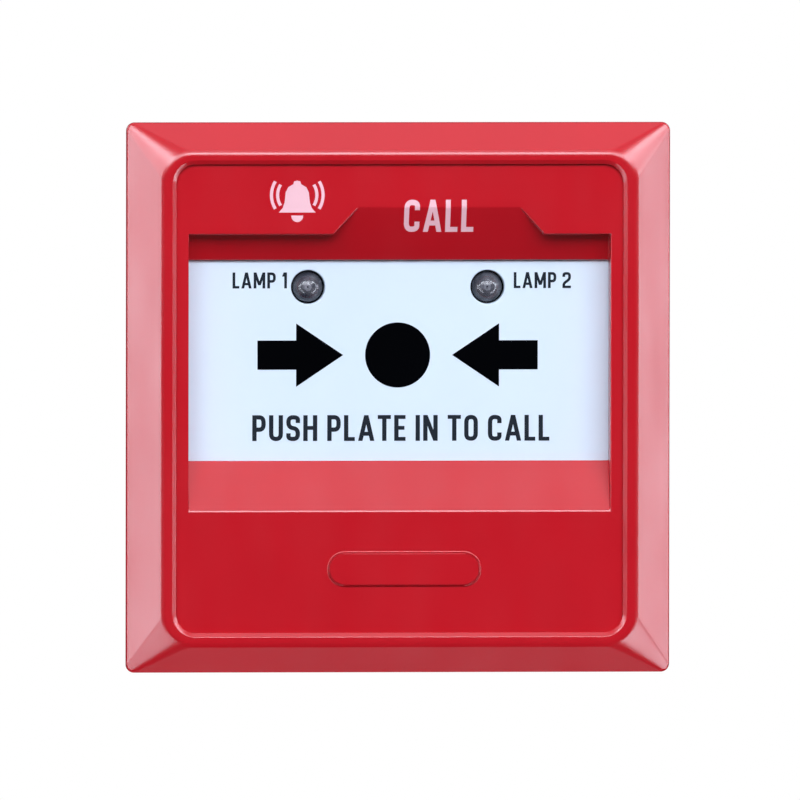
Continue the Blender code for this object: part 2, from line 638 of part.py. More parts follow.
def make_lower_edge_fittings():
    """The key bush, the telephone jack with its bush and two contacts, and the locking screw."""
    edge = -HEIGHT / 2 + EDGE_INSET
    bush = [(BUSH_RADIUS, edge), (BUSH_RADIUS, FITTING_TOP), (KEY_BORE, FITTING_TOP)]
    bush += [(KEY_BORE, edge + LEAD_IN), (KEY_BORE + LEAD_IN, edge)]
    piece("reset_key_bush", Shape().turned(bush, (0.0, STEM_DEPTH), "z", loop=True, steps=24), BLACK)
    body = Shape().prism(rounded(7.0, 5.2, 1.0, (JACK_X, JACK_DEPTH), 2), "z", -44.0, -22.0)
    bore = Shape().rod(JACK_BORE, (JACK_X, JACK_DEPTH), "z", -46.0, -25.0, steps=24)
    piece("phone_jack_body", body, BLACK, [("cut", bore)])
    sleeve = [(JACK_BUSH_RADIUS, edge), (JACK_BUSH_RADIUS, -44.3), (JACK_BORE, -44.3)]
    sleeve += [(JACK_BORE, edge + LEAD_IN), (JACK_BORE + 0.5, edge)]
    sleeve_shape = Shape().turned(sleeve, (JACK_X, JACK_DEPTH), "z", loop=True, steps=24)
    piece("phone_jack_bush", sleeve_shape, STEEL)
    for number, (x, z) in enumerate(((17.0, -28.0), (23.0, -34.0)), 1):
        tab = Shape().box((x - 0.3, x + 0.3), (PCB_FRONT + GAP, 28.7), (z - 1.0, z + 1.0))
        piece(f"jack_contact_{number}", tab, BRASS)
    screw("lock_screw", (LOCK_X, LOCK_DEPTH), "z", edge + 0.2, -40.2, 2.6, 1.5)


def make_outer_bezel():
    """The outer frame: a skirt that is widest at its parting line, the bevel, the rim and the gasket's ledge."""
    skirt_w = WIDTH / 2 - WALL
    skirt_h = HEIGHT / 2 - WALL
    shell = Shape().frames(
        [
            (WIDTH / 2 - REAR_DRAFT, HEIGHT / 2 - REAR_DRAFT, SKIRT_RADIUS, SKIRT_REAR),
            (WIDTH / 2, HEIGHT / 2, SKIRT_RADIUS, SKIRT_WIDEST),
            (WIDTH / 2 - FRONT_DRAFT, HEIGHT / 2 - FRONT_DRAFT, SKIRT_RADIUS, SKIRT_FRONT),
            (RIM_HALF_W, RIM_HALF_H, RIM_RADIUS, DEPTH),
            (OPENING_HALF_W, OPENING_HALF_H, OPENING_RADIUS, DEPTH),
            (OPENING_HALF_W, OPENING_HALF_H, OPENING_RADIUS, RIM_REAR),
            (42.3, 43.75, 4.4, RIM_REAR),
            (skirt_w, skirt_h, 1.0, 39.75),
            (skirt_w, skirt_h, 1.0, SEAL_FRONT),
            (skirt_w - SEAL_LEDGE, skirt_h - SEAL_LEDGE, 1.2, SEAL_FRONT),
            (skirt_w - SEAL_LEDGE, skirt_h - SEAL_LEDGE, 1.2, SEAL_REAR),
            (skirt_w, skirt_h, 1.0, SEAL_REAR),
            (skirt_w, skirt_h, 1.0, SKIRT_REAR),
        ],
        loop=True,
    )
    holes = Shape().rod(4.5, (0.0, STEM_DEPTH), "z", -51.0, -44.0, steps=24)
    holes.rod(4.7, (JACK_X, JACK_DEPTH), "z", -51.0, -44.0, steps=24)
    holes.rod(3.0, (LOCK_X, LOCK_DEPTH), "z", -51.0, -44.0)
    piece("outer_bezel", shell, RED, [("cut", holes)])


def slope_depth(z, top, bottom):
    """The depth of a window slope at height z: it runs from the panel at top to the land at bottom."""
    return PANEL_FRONT - (PANEL_FRONT - LAND_FRONT) * (z - top) / (bottom - top)


def pocket(top, bottom, edge):
    """The hollow behind a slope and its panel, which leaves them PANEL_THICK thick: (depth, z) pairs."""
    run = bottom - top
    drop = PANEL_FRONT - LAND_FRONT
    shift = PANEL_THICK * math.hypot(run, drop) / abs(run)
    back = COVER_REAR - 0.8
    floor = PANEL_FRONT - PANEL_THICK
    slope = drop / run
    z_floor = top + (PANEL_FRONT - shift - floor) / slope
    z_back = top + (PANEL_FRONT - shift - back) / slope
    return [(back, edge), (floor, edge), (floor, z_floor), (back, z_back)]


def make_front_cover():
    """The red front panel: flange, window, header with a notch, sill, a blank badge and screw bosses."""
    block = Shape().frames(
        [
            (PANEL_HALF_W, PANEL_HALF_H, PANEL_RADIUS, COVER_REAR),
            (PANEL_HALF_W, PANEL_HALF_H, PANEL_RADIUS, FLANGE_REAR),
            (FLANGE_HALF_W, FLANGE_HALF_H, 4.6, FLANGE_REAR),
            (FLANGE_HALF_W, FLANGE_HALF_H, 4.6, FLANGE_FRONT),
            (PANEL_HALF_W, PANEL_HALF_H, PANEL_RADIUS, FLANGE_FRONT),
            (PANEL_HALF_W, PANEL_HALF_H, PANEL_RADIUS, PANEL_FRONT),
        ]
    )
    ahead = DEPTH
    over = (ahead - PANEL_FRONT) / (PANEL_FRONT - LAND_FRONT)
    window = [
        (ahead, EAR_BOTTOM),
        (slope_depth(EAR_BOTTOM, HEADER_TOP, WINDOW_TOP), EAR_BOTTOM),
        (LAND_FRONT, WINDOW_TOP),
        (COVER_REAR - 0.8, WINDOW_TOP),
        (COVER_REAR - 0.8, WINDOW_BOTTOM),
        (LAND_FRONT, WINDOW_BOTTOM),
        (ahead, SILL_BOTTOM - over * (WINDOW_BOTTOM - SILL_BOTTOM)),
    ]
    widening = (NOTCH_HALF_BOTTOM - NOTCH_HALF_TOP) / (HEADER_TOP - EAR_BOTTOM)
    low = EAR_BOTTOM - 0.6
    high = HEADER_TOP + over * (HEADER_TOP - WINDOW_TOP)
    low_half = NOTCH_HALF_BOTTOM + 0.6 * widening
    high_half = NOTCH_HALF_TOP - (high - HEADER_TOP) * widening
    ends = [
        [
            (NOTCH_X + side * low_half, ahead, low),
            (NOTCH_X + side * low_half, slope_depth(low, HEADER_TOP, WINDOW_TOP), low),
            (NOTCH_X + side * high_half, ahead, high),
        ]
        for side in mirrored(1)
    ]
    inner = PANEL_HALF_H - PANEL_THICK
    hollows = Shape().prism(pocket(HEADER_TOP, WINDOW_TOP, inner), "x", -WINDOW_HALF_W, WINDOW_HALF_W)
    hollows.prism(pocket(SILL_BOTTOM, WINDOW_BOTTOM, -inner), "x", -WINDOW_HALF_W, WINDOW_HALF_W)
    added = Shape()
    bores = Shape()
    for x in mirrored(BOSS_X):
        for z in mirrored(BOSS_Z):
            added.rod(BOSS_RADIUS, (x, z), "depth", CHASSIS_FRONT + GAP, PANEL_FRONT - 1.2)
            bores.rod(1.5, (x, z), "depth", 28.0, 38.0, steps=12)
    badge_x, badge_z, badge_w, badge_h = BADGE
    added.prism(rounded(badge_w, badge_h, badge_h, (badge_x, badge_z)), "depth", 44.5, PANEL_FRONT + 0.35)
    edits = [
        ("cut", Shape().prism(window, "x", -WINDOW_HALF_W, WINDOW_HALF_W)),
        ("cut", Shape().skin(ends)),
        ("cut", hollows),
        ("add", added),
        ("cut", bores),
    ]
    piece("front_cover", block, RED, edits)


def main():
    for old in list(bpy.data.objects):
        bpy.data.objects.remove(old, do_unlink=True)
    make_back_box()
    make_gasket()
    make_grommet()
    make_wiring_base()
    make_circuit_board()
    make_switch()
    make_chassis()
    make_plate_and_carrier()
    for number, x in enumerate(mirrored(SPRING_X), 1):
        make_return_spring(f"return_spring_{number}", x)
    make_slider()
    make_leds()
    make_lower_edge_fittings()
    make_outer_bezel()
    make_front_cover()


main()
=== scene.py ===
"""Looks of the manual call point: finished surfaces, printed marks, lamps, light and camera.

Shapes are drawn in millimetres as x, depth in front of the wall, z, as in the CAD model, and become
metres when a mesh is made. Pieces that replace a CAD node take their places from that node's box.
"""

import math

import bmesh
import bpy
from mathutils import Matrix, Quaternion, Vector
from mathutils.bvhtree import BVHTree


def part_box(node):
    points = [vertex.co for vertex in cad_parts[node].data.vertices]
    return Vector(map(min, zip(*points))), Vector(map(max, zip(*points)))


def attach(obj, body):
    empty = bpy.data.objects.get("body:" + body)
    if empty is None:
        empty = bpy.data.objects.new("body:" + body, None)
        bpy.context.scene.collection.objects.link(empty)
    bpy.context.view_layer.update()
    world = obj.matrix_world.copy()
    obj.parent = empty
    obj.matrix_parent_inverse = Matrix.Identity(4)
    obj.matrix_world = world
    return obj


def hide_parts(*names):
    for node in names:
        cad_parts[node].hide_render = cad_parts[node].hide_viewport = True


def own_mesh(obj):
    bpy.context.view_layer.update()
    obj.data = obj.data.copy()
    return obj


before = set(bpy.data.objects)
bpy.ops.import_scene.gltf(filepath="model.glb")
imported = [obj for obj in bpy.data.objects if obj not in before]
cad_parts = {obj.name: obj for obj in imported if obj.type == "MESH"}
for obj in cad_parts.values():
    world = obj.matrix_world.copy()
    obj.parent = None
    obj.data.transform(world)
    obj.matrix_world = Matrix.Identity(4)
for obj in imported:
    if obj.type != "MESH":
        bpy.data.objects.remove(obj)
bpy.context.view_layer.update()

MM = 0.001
CORNER_STEPS = 14
ROUND_STEPS = 48
SHARP = math.radians(32)
FLAT = math.radians(0.2)


def span(node):
    """A CAD node's (lowest, highest) x, depth and z, in millimetres."""
    low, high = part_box(node)
    return (low.x / MM, high.x / MM), (-high.y / MM, -low.y / MM), (low.z / MM, high.z / MM)


def middle(pair):
    return (pair[0] + pair[1]) / 2


# The outer bezel.
BEZEL_X, BEZEL_D, BEZEL_Z = span("outer_bezel")
HALF_W = BEZEL_X[1]
HALF_H = BEZEL_Z[1]
FRONT = BEZEL_D[1]
SKIRT_REAR = BEZEL_D[0]
SKIRT_WIDEST = 40.2
SKIRT_FRONT = 41.0
REAR_DRAFT = 1.1
FRONT_DRAFT = 0.1
WALL = 2.2
RIM_HALF_W = 42.5
RIM_HALF_H = 44.25
RIM_RADIUS = 5.5
RIM_REAR = 43.2
SKIRT_RADIUS = 1.5
CROWN = 0.7
CROWN_DROP = 0.35
# The lip round the opening: it slopes in over the panel's edge, then turns back under itself.
LIP_WIDTH = 0.75
LIP_DROP = 0.45
LIP_FOOT = 0.3
LIP_REACH = 0.26
THROAT_HALF_W = 42.3
THROAT_HALF_H = 43.75
THROAT_RADIUS = 4.4
THROAT_REAR = 39.75
SKIRT_INNER_RADIUS = 1.0
SEAL_D = (30.0, 31.2)
SEAL_LEDGE = 1.9
SEAL_RADIUS = 1.2
KEY_HOLE = 4.5
JACK_HOLE = 4.7
LOCK_HOLE = 3.0
# From below the bezel to just inside it.
LOWER_EDGE_CUT = (-51.0, -44.0)

# The front cover and its window.
FLANGE_X, _, FLANGE_Z = span("front_cover")
FLANGE_D = (41.2, 42.9)
FLANGE_RADIUS = 4.6
PANEL_HALF_W = 40.05
PANEL_HALF_H = 41.9
PANEL_FRONT = 45.0
PANEL_THICK = 2.0
PANEL_RADIUS = 3.6
OPENING_GAP = 0.04
COVER_REAR = 39.8
CUT_REAR = COVER_REAR - 0.8
WINDOW_HALF_W = 37.6
WINDOW_TOP = 24.45
WINDOW_BOTTOM = -11.3
LAND_FRONT = 40.3
HEADER_TOP = 34.0
SILL_BOTTOM = -20.1
EAR_BOTTOM = 29.2
NOTCH_X = 7.0
NOTCH_HALF_TOP = 14.4
NOTCH_HALF_BOTTOM = 18.8
BADGE_X, BADGE_Z, BADGE_HALF_W, BADGE_HALF_H = 0.85, -30.4, 13.6, 3.0
BADGE_RISE = 0.35
BOSS_X = 35.0
BOSS_Z = 37.0
BOSS_RADIUS = 2.9
BORE_RADIUS = 1.5
BORE_FRONT = 38.0

# The press plate and its lamps.
PLATE_X, PLATE_D, PLATE_Z = span("press_plate")
LAMP_X = middle(span("phone_led")[0])
LAMP_Z = middle(span("phone_led")[2])
LAMP_HOLE = 3.0
LAMP_RADIUS = 2.7
LAMP_RIM = 2.9
# What shows inside a lamp, by height above its base: the cup as (radius, height), a post and a die.
CUP = ((0.0, 0.3), (0.28, 0.3), (0.28, 2.8), (0.42, 3.1))
CUP += ((0.54, 3.7), (0.3, 3.75), (0.22, 3.35), (0.0, 3.3))
CUP_POST_X = (0.8, 1.1)
CUP_POST_RISE = (0.3, 1.6)
CUP_POST_HALF = 0.25
DIE_RISE = (3.31, 3.42)
DIE_HALF = 0.14

# The back box.
BOX_X, _, BOX_Z = span("back_box")
BOX_DEPTH = 28.0
BOX_FLOOR = 2.5
BOX_CHAMFER = 0.6
BOX_RADIUS = 3.0
BOX_INNER_RADIUS = 1.6
LOCK_X = middle(span("lock_screw")[0])
LOCK_DEPTH = middle(span("lock_screw")[1])
JACK_X = middle(span("phone_jack_bush")[0])
JACK_DEPTH = middle(span("phone_jack_bush")[1])
KEY_DEPTH = middle(span("reset_key_bush")[1])
CABLE_Z = middle(span("cable_grommet")[2])
CABLE_RADIUS = 9.0
WALL_SCREW_X = 30.0
WALL_SCREW_RADIUS = 2.3
BASE_SCREW_X = middle(span("base_screw_2")[0])
BASE_SCREW_Z = middle(span("base_screw_2")[2])
POST_RADIUS = 3.0
POST_FRONT = 4.7
CATCH_X = (14.0, 22.0)
CATCH_D = (20.5, 22.5)
CATCH_LOW = 42.6
LUG_HALF_W = 6.0
LUG_FRONT = 36.0
LUG_THICK = 2.5
KNOCKOUT_RADII = (10.0, 12.6)
SCORE_HALF_W = 0.3
SCORE_DEPTH = 0.6

# Printed marks lie this far above the surface and reach this far into it.
PRINT_PROUD = 0.025
PRINT_SUNK = 0.03
SYMBOL_Z = 7.5
DOT_RADIUS = 5.8
ARROW_TIP, ARROW_NECK, ARROW_TAIL = 9.7, 18.1, 25.0
ARROW_HALF, SHAFT_HALF = 5.65, 2.6
PLATE_WORDS = (
    ("plate_words", "PUSH PLATE IN TO CALL", (0.6, -5.5), 53.0, 4.6),
    ("left_lamp_word", "LAMP 1", (-24.6, 20.8), 9.7, 2.85),
    ("right_lamp_word", "LAMP 2", (25.8, 20.8), 10.2, 2.85),
)
BELL_X, BELL_Z = -18.3, 35.2
# Half of the bell's outline, from the crown down to the mouth.
BELL_HALF = ((0.0, 3.6), (0.55, 3.45), (0.7, 2.95), (1.6, 2.4))
BELL_HALF += ((2.05, 1.5), (2.25, -0.3), (2.6, -1.3), (3.3, -2.1))
CLAPPER_RADIUS = 1.05
CLAPPER_Z = BELL_Z - 2.75
CLAPPER_TOP = BELL_Z - 2.55
WAVE_REACH = (3.5, 4.6)
WAVE_WIDTH = 0.55


def point(x, depth, z):
    return Vector((x, -depth, z)) * MM


def mirrored(value):
    return (-value, value)


def rounded(half_w, half_h, radius, centre=(0.0, 0.0)):
    """A rectangle with round corners, as (across, up) pairs that run anticlockwise."""
    outline = []
    for quarter, (right, up) in enumerate(((1, 1), (-1, 1), (-1, -1), (1, -1))):
        for step in range(CORNER_STEPS + 1):
            angle = math.pi / 2 * (quarter + step / CORNER_STEPS)
            across = centre[0] + right * (half_w - radius) + radius * math.cos(angle)
            outline.append((across, centre[1] + up * (half_h - radius) + radius * math.sin(angle)))
    return outline


def circle(radius, centre=(0.0, 0.0), steps=ROUND_STEPS):
    turns = [2 * math.pi * (step + 0.5) / steps for step in range(steps)]
    return [(centre[0] + radius * math.cos(a), centre[1] + radius * math.sin(a)) for a in turns]


def eased(path, steps=5, loop=False):
    """Rounds a path's corners. Each place ends with its ease: how far back both ways it starts."""
    places = [Vector(place[:-1]) for place in path]
    made = []
    for i, here in enumerate(places):
        ease = path[i][-1]
        inside = loop or 0 < i < len(path) - 1
        if not ease or not inside:
            made.append(tuple(here))
            continue
        ends = []
        for other in (places[i - 1], places[(i + 1) % len(places)]):
            side = other - here
            ends.append(here + side * min(0.48, ease / side.length))
        for step in range(steps + 1):
            t = step / steps
            made.append(tuple(ends[0] * (1 - t) ** 2 + here * 2 * t * (1 - t) + ends[1] * t * t))
    return made


class Shape:
    """One or more closed bodies in one mesh, given in millimetres."""

    def __init__(self):
        self.mesh = bmesh.new()

    def skin(self, rings, loop=False):
        """Walls between rings: a loop joins the last ring to the first, or both are capped."""
        made = [[self.mesh.verts.new(point(*place)) for place in ring] for ring in rings]
        pairs = list(zip(made, made[1:]))
        if loop:
            pairs.append((made[-1], made[0]))
        else:
            for cap in (made[0], made[-1]):
                if len(cap) > 2:
                    self.mesh.faces.new(cap)
        for low, high in pairs:
            count = max(len(low), len(high))
            for i in range(count):
                j = (i + 1) % count
                corners = [low[i % len(low)], low[j % len(low)]]
                corners += [high[j % len(high)], high[i % len(high)]]
                self.mesh.faces.new(list(dict.fromkeys(corners)))
        bmesh.ops.recalc_face_normals(self.mesh, faces=self.mesh.faces)
        return self

    def faces(self, *loops):
        """A closed body given as its flat faces, each a loop of places."""
        corners = {}
        for loop in loops:
            for place in loop:
                corners.setdefault(place, None)
        for place in corners:
            corners[place] = self.mesh.verts.new(point(*place))
        for loop in loops:
            self.mesh.faces.new([corners[place] for place in loop])
        bmesh.ops.recalc_face_normals(self.mesh, faces=self.mesh.faces)
        return self

    def frames(self, rings, loop=False):
        """A skin through rounded rectangles: each is half width, half height, radius and depth."""
        return self.skin([[(x, d, z) for x, z in rounded(w, h, r)] for w, h, r, d in rings], loop)

    def prism(self, outline, along, start, end):
        """An outline drawn along one axis: pairs are (depth, z), (x, z) or (x, depth)."""
        return self.skin([[arranged(pair, along, at) for pair in outline] for at in (start, end)])

    def box(self, xs, depths, zs):
        corners = [(xs[0], zs[0]), (xs[1], zs[0]), (xs[1], zs[1]), (xs[0], zs[1])]
        return self.prism(corners, "depth", depths[0], depths[1])

    def rod(self, radius, centre, along, start, end, steps=ROUND_STEPS):
        return self.prism(circle(radius, centre, steps), along, start, end)

    def turned(self, profile, centre, along="depth", loop=False, steps=ROUND_STEPS):
        """(radius, station) pairs turned about an axis; a radius of 0 closes to a point."""
        rings = []
        for radius, station in profile:
            pairs = circle(radius, centre, steps) if radius > 1e-6 else [centre]
            rings.append([arranged(pair, along, station) for pair in pairs])
        return self.skin(rings, loop)


def arranged(pair, along, station):
    """The place whose coordinate along one axis is station and whose other two are the pair."""
    a, b = pair
    return {"x": (station, a, b), "depth": (a, station, b), "z": (a, b, station)}[along]


def to_object(name, shape):
    mesh = bpy.data.meshes.new(name)
    shape.mesh.to_mesh(mesh)
    shape.mesh.free()
    made = bpy.data.objects.new(name, mesh)
    bpy.context.scene.collection.objects.link(made)
    return made


def solid(name, shape, edits=(), merge=False):
    """One mesh object. Edits are ("add" or "cut", shape); merge joins faces left in one plane."""
    made = to_object(name, shape)
    tools = []
    for kind, tool in edits:
        helper = to_object(f"{name}_{kind}", tool)
        change = made.modifiers.new(kind, "BOOLEAN")
        change.operation = "UNION" if kind == "add" else "DIFFERENCE"
        change.object = helper
        change.use_self = kind == "add"
        tools.append(helper)
    if tools:
        bpy.context.view_layer.update()
        graph = bpy.context.evaluated_depsgraph_get()
        plain = made.data
        made.data = bpy.data.meshes.new_from_object(made.evaluated_get(graph))
        made.data.name = name
        made.modifiers.clear()
        bpy.data.meshes.remove(plain)
    for helper in tools:
        bpy.data.objects.remove(helper, do_unlink=True)
    if merge:
        mesh = bmesh.new()
        mesh.from_mesh(made.data)
        bmesh.ops.remove_doubles(mesh, verts=mesh.verts, dist=1e-6)
        bmesh.ops.dissolve_limit(mesh, angle_limit=FLAT, verts=mesh.verts, edges=mesh.edges)
        mesh.to_mesh(made.data)
        mesh.free()
    return made


def smooth(obj, bevel=0.0, segments=3, angle=SHARP):
    """Shades a piece smooth, with its edges rounded by a bevel of that width in millimetres."""
    obj.data.shade_smooth()
    if bevel:
        edge = obj.modifiers.new("edge", "BEVEL")
        edge.width = bevel * MM
        edge.segments = segments
        edge.limit_method = "ANGLE"
        edge.angle_limit = angle
        edge.use_clamp_overlap = False
    else:
        obj.data.set_sharp_from_angle(angle=angle)
    even = obj.modifiers.new("even", "WEIGHTED_NORMAL")
    even.keep_sharp = not bevel
    return obj


def place(obj, look, body, slot, *nodes):
    """Gives a piece its material and its body, and hides the CAD nodes that it stands for; the slot
    is not used.
    """
    obj.data.materials.clear()
    obj.data.materials.append(look)
    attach(obj, body)
    if nodes:
        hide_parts(*nodes)
    return obj


# ---------------------------------------------------------------- materials


class Look:
    """A procedural material round one Principled BSDF."""

    def __init__(self, name, **sockets):
        self.material = bpy.data.materials.new(name)
        self.material.use_nodes = True
        self.tree = self.material.node_tree
        self.shader = self.tree.nodes["Principled BSDF"]
        for socket, value in sockets.items():
            self.shader.inputs[socket.replace("_", " ")].default_value = value
        self.places = self.tree.nodes.new("ShaderNodeTexCoord").outputs["Object"]

    def node(self, kind, links=(), **settings):
        """A node; settings in capitals are its inputs' values, the others are its properties."""
        made = self.tree.nodes.new("ShaderNode" + kind)
        for key, value in settings.items():
            if key[0].isupper():
                made.inputs[key.replace("_", " ")].default_value = value
            else:
                setattr(made, key, value)
        for socket, source in dict(links).items():
            self.tree.links.new(source, made.inputs[socket])
        return made

    def noise(self, scale, detail=2.0, stretch=(1.0, 1.0, 1.0)):
        """A noise value about 0.5, of so many waves per metre."""
        mapped = self.node("Mapping", {"Vector": self.places}, Scale=stretch)
        made = self.node("TexNoise", {"Vector": mapped.outputs[0]}, Scale=scale, Detail=detail)
        return made.outputs[0]

    def ranged(self, noise, low, high):
        """A noise value, which mostly lies between 0.3 and 0.7, spread from low to high."""
        made = self.node(
            "MapRange", {"Value": noise}, From_Min=0.3, From_Max=0.7, To_Min=low, To_Max=high
        )
        return made.outputs[0]

    def mix(self, share, first, second):
        """Blends two colours, or links of colours, by a share."""
        made = self.node("Mix", {"Factor": share}, data_type="RGBA")
        for socket, colour in ((6, first), (7, second)):
            if isinstance(colour, tuple):
                made.inputs[socket].default_value = (*colour, 1.0)
            else:
                self.tree.links.new(colour, made.inputs[socket])
        return made.outputs[2]

    def set(self, socket, value):
        self.tree.links.new(value, self.shader.inputs[socket])

    def bump(self, *layers):
        """Stacks bumps, each given as (value, height in metres, strength)."""
        normal = None
        for value, distance, strength in layers:
            links = {"Height": value}
            if normal:
                links["Normal"] = normal
            made = self.node("Bump", links, Strength=strength, Distance=distance)
            normal = made.outputs[0]
        self.set("Normal", normal)


def tinted(colour, factor):
    return tuple(min(1.0, part * factor) for part in colour)


def moulded(name, colour, roughness, mottle=0.05, grain=0.000004, **sockets):
    """Moulded plastic: slow colour drift, faint flow marks in the gloss and a fine ripple."""
    look = Look(name, **sockets)
    drift = look.ranged(look.noise(45.0, 3.0), 0.0, 1.0)
    flow = look.noise(160.0, 4.0, (1.0, 1.0, 0.35))
    look.set("Base Color", look.mix(drift, tinted(colour, 1 - mottle), tinted(colour, 1 + mottle)))
    look.set("Roughness", look.ranged(flow, roughness * 0.88, roughness * 1.14))
    ripple = look.noise(900.0, 1.0)
    fine = look.noise(9000.0, 2.0)
    look.bump((ripple, grain * 1.5, 0.6), (fine, grain, 0.5))
    return look.material


def metal(name, colour, roughness, stretch=(1.0, 1.0, 1.0), spots=0.0):
    """Bright or plated metal with fine drawn lines along one axis and faint stains."""
    look = Look(name, Metallic=1.0)
    stains = look.ranged(look.noise(700.0, 4.0), 0.0, 1.0)
    dull, bright = tinted(colour, 1 - spots), tinted(colour, 1 + spots * 0.3)
    look.set("Base Color", look.mix(stains, dull, bright))
    lines = look.noise(6000.0, 3.0, stretch)
    look.set("Roughness", look.ranged(lines, roughness * 0.8, roughness * 1.25))
    look.bump((lines, 0.000002, 0.6))
    return look.material


RED = (0.53, 0.0035, 0.0115)
PLATE_WHITE = (0.70, 0.81, 0.92)
INK_BLACK = (0.0012, 0.0014, 0.002)
INK_DARK = (0.006, 0.011, 0.019)
INK_WHITE = (0.90, 0.52, 0.58)

LOOKS = {
    "red": moulded("red_gloss_abs", RED, 0.22, 0.03, IOR=1.6),
    "white": moulded("white_satin_plate", PLATE_WHITE, 0.42, 0.012, 0.000003),
    "acetal": moulded("white_acetal", (0.78, 0.78, 0.74), 0.4, 0.03),
    "black": moulded("black_textured_abs", (0.014, 0.014, 0.016), 0.45, 0.15, 0.000012),
    "rubber": moulded("black_rubber", (0.018, 0.018, 0.018), 0.75, 0.2, 0.00001),
    "ivory": moulded("ivory_abs", (0.66, 0.62, 0.50), 0.42, 0.05),
    "terminal": moulded("green_terminal_plastic", (0.02, 0.24, 0.06), 0.35, 0.08),
    "ink_black": moulded("black_ink", INK_BLACK, 0.6, 0.1, 0.000003, Specular_IOR_Level=0.0),
    "ink_dark": moulded("dark_ink", INK_DARK, 0.6, 0.1, 0.000003, Specular_IOR_Level=0.15),
    "ink_white": moulded("pale_ink", INK_WHITE, 0.5, 0.04, 0.000003),
    "steel": metal("zinc_plated_steel", (0.60, 0.60, 0.62), 0.28, spots=0.12),
    "can": metal("drawn_aluminium", (0.72, 0.72, 0.74), 0.25, (1.0, 0.1, 1.0), 0.05),
    "chrome": metal("bright_plating", (0.72, 0.72, 0.73), 0.1, spots=0.04),
    "brass": metal("plain_brass", (0.68, 0.48, 0.20), 0.25, spots=0.12),
}


def board_look():
    """Green solder mask, lighter and a little raised along a grid of tracks."""
    look = Look("solder_masked_board", Roughness=0.32)
    upright = look.node("Mapping", {"Vector": look.places}, Rotation=(math.pi / 2, 0, 0))
    tracks = look.node(
        "TexBrick",
        {"Vector": upright.outputs[0]},
        Scale=260.0,
        Mortar_Size=0.09,
        Color1=(0, 0, 0, 1),
        Color2=(0, 0, 0, 1),
        Mortar=(1, 1, 1, 1),
    ).outputs["Color"]
    look.set("Base Color", look.mix(tracks, (0.008, 0.10, 0.035), (0.02, 0.20, 0.07)))
    look.bump((tracks, 0.00003, 0.5))
    return look.material


def lens_look():
    """Smoke-tinted clear epoxy with painted highlights: its colour is a cloudy mix of dark and
    light, and the light patches stand in for swirling reflections.
    """
    look = Look("smoky_epoxy", Transmission_Weight=0.68, IOR=1.5, Roughness=0.1)
    painted_swirl = look.ranged(look.noise(420.0, 2.0), 0.0, 1.0)
    # The dark of this mix is the epoxy's own smoky tint. The light patches are painted reflection:
    # swirls of light laid into the colour.
    look.set("Base Color", look.mix(painted_swirl, (0.10, 0.105, 0.145), (0.42, 0.42, 0.48)))
    return look.material


LOOKS["board"] = board_look()
LOOKS["lens"] = lens_look()


# ---------------------------------------------------------------- casings


def slope_depth(z, top, bottom):
    """The depth at height z of a window slope, from the panel at top to the land at bottom."""
    return PANEL_FRONT - (PANEL_FRONT - LAND_FRONT) * (z - top) / (bottom - top)


def pocket(top, bottom, edge):
    """The hollow that leaves a slope and its panel PANEL_THICK thick, as (depth, z) pairs."""
    run = bottom - top
    drop = PANEL_FRONT - LAND_FRONT
    shift = PANEL_THICK * math.hypot(run, drop) / abs(run)
    floor = PANEL_FRONT - PANEL_THICK
    slope = drop / run
    z_floor = top + (PANEL_FRONT - shift - floor) / slope
    z_back = top + (PANEL_FRONT - shift - CUT_REAR) / slope
    return [(CUT_REAR, edge), (floor, edge), (floor, z_floor), (CUT_REAR, z_back)]


